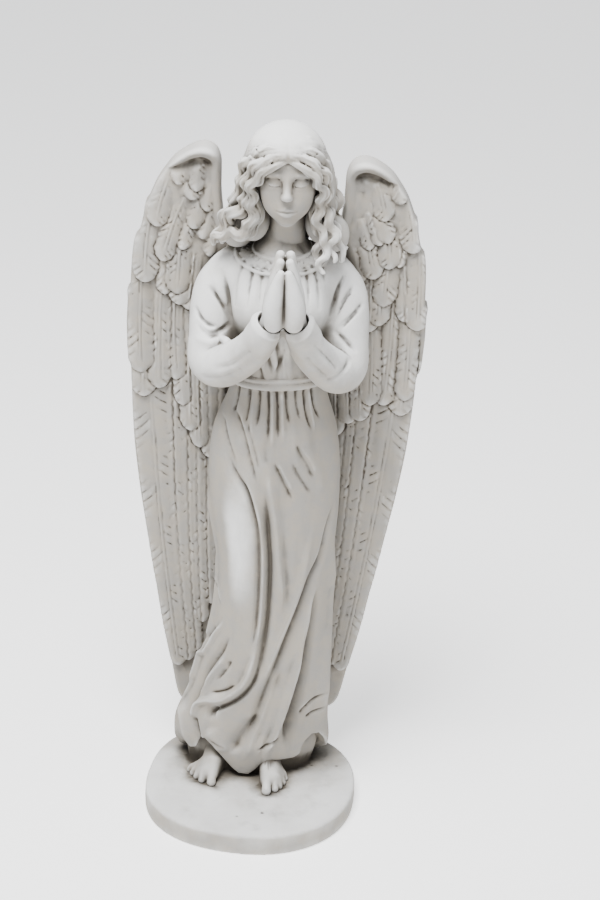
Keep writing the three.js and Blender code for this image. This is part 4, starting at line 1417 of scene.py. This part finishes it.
def carve():
    bothWings = [(sculptWing(side, wingRelief(side)), f"wing{side}") for side in (-1, 1)]
    say("wings")
    body = sculptGown()
    sculptTrunk(body)
    sculptSleeves(body)
    sculptSash(body)
    sculptCollar(body)
    say("trunk, sleeves, sash and collar")
    slab = Clay([-158, -152, -4], [158, 156, 38], 2.0)
    sculptBase(slab)
    toes = Clay([-106, -62, 24], [74, 70, 96], 0.95)
    sculptFeet(toes)
    face = Clay([-18, -50, 790], [76, 76, 990], 0.85)
    sculptHead(face)
    curls = Clay([-86, -52, 786], [134, 104, 1004], 1.1)
    sculptHair(curls)
    palms = Clay([-10, -116, 730], [70, -50, 866], 0.9)
    sculptHands(palms)
    regions = [(body, "gown"), (slab, "slab"), (toes, "feet"), (face, "head"), (curls, "hair"),
               (palms, "hands")] + bothWings
    pieces = [clay.mesh(name, detail[name]) for clay, name in regions]
    whole = unite(pieces)
    thin(whole, detail["whole"])
    say(f"thinned to {len(whole.data.polygons)} triangles")
    whole.data.polygons.foreach_set("use_smooth", np.ones(len(whole.data.polygons), bool))
    weatherAndShade(whole, [clay for clay, _ in regions])
    return whole


statue = carve()
statue.name = "statue"
statue.data.materials.clear()
statue.data.materials.append(castStone())
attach(statue, "root")
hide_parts("angel_statue")


# floor, light and camera

stage = {
    "eye": (0.056, -2.40, 1.65),
    "pitch": 24.6,  # degrees below level
    "roll": 2.0,
    "lens": 79.5,
    "sky": 0.42,
    "key": 230,  # watts
    "fill": 8,
    "floorGlow": 1.15,
}


def layStage():
    floorMesh = bpy.data.meshes.new("floor")
    s = 14.0
    floorMesh.from_pydata([(-s, -s, 0), (s, -s, 0), (s, s, 0), (-s, s, 0)], [], [(0, 1, 2, 3)])
    floor = bpy.data.objects.new("floor", floorMesh)
    bpy.context.scene.collection.objects.link(floor)
    paint = bpy.data.materials.new("paleFloor")
    paint.use_nodes = True
    shader = paint.node_tree.nodes["Principled BSDF"]
    shader.inputs["Base Color"].default_value = (0.95, 0.95, 0.95, 1)
    shader.inputs["Emission Color"].default_value = (1, 1, 1, 1)
    shader.inputs["Emission Strength"].default_value = stage["floorGlow"]
    shader.inputs["Roughness"].default_value = 0.9
    shader.inputs["Specular IOR Level"].default_value = 0.1
    floorMesh.materials.append(paint)

    world = bpy.data.worlds.new("soft sky")
    bpy.context.scene.world = world
    world.use_nodes = True
    sky = world.node_tree.nodes["Background"]
    sky.inputs["Color"].default_value = (0.93, 0.96, 1.0, 1)
    sky.inputs["Strength"].default_value = stage["sky"]

    def lamp(name, where, target, size, power, tint=(1, 1, 1)):
        light = bpy.data.lights.new(name, "AREA")
        light.shape = "DISK"
        light.size = size
        light.energy = power
        light.color = tint
        holder = bpy.data.objects.new(name, light)
        bpy.context.scene.collection.objects.link(holder)
        holder.location = where
        holder.rotation_euler = (Vector(target) - Vector(where)).to_track_quat("-Z", "Y").to_euler()

    lamp("key", (-0.5, -1.0, 3.2), (0, 0, 0.5), 1.6, stage["key"])
    lamp("fill", (2.2, -2.4, 1.6), (0, 0, 0.5), 2.0, stage["fill"])

    camera = bpy.data.cameras.new("camera")
    camera.lens = stage["lens"]
    camera.sensor_width = 36
    holder = bpy.data.objects.new("camera", camera)
    bpy.context.scene.collection.objects.link(holder)
    turn = (Matrix.Rotation(math.radians(90 - stage["pitch"]), 4, "X")
            @ Matrix.Rotation(math.radians(stage["roll"]), 4, "Z"))
    holder.matrix_world = Matrix.Translation(stage["eye"]) @ turn
    bpy.context.scene.camera = holder


layStage()
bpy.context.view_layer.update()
say("done")
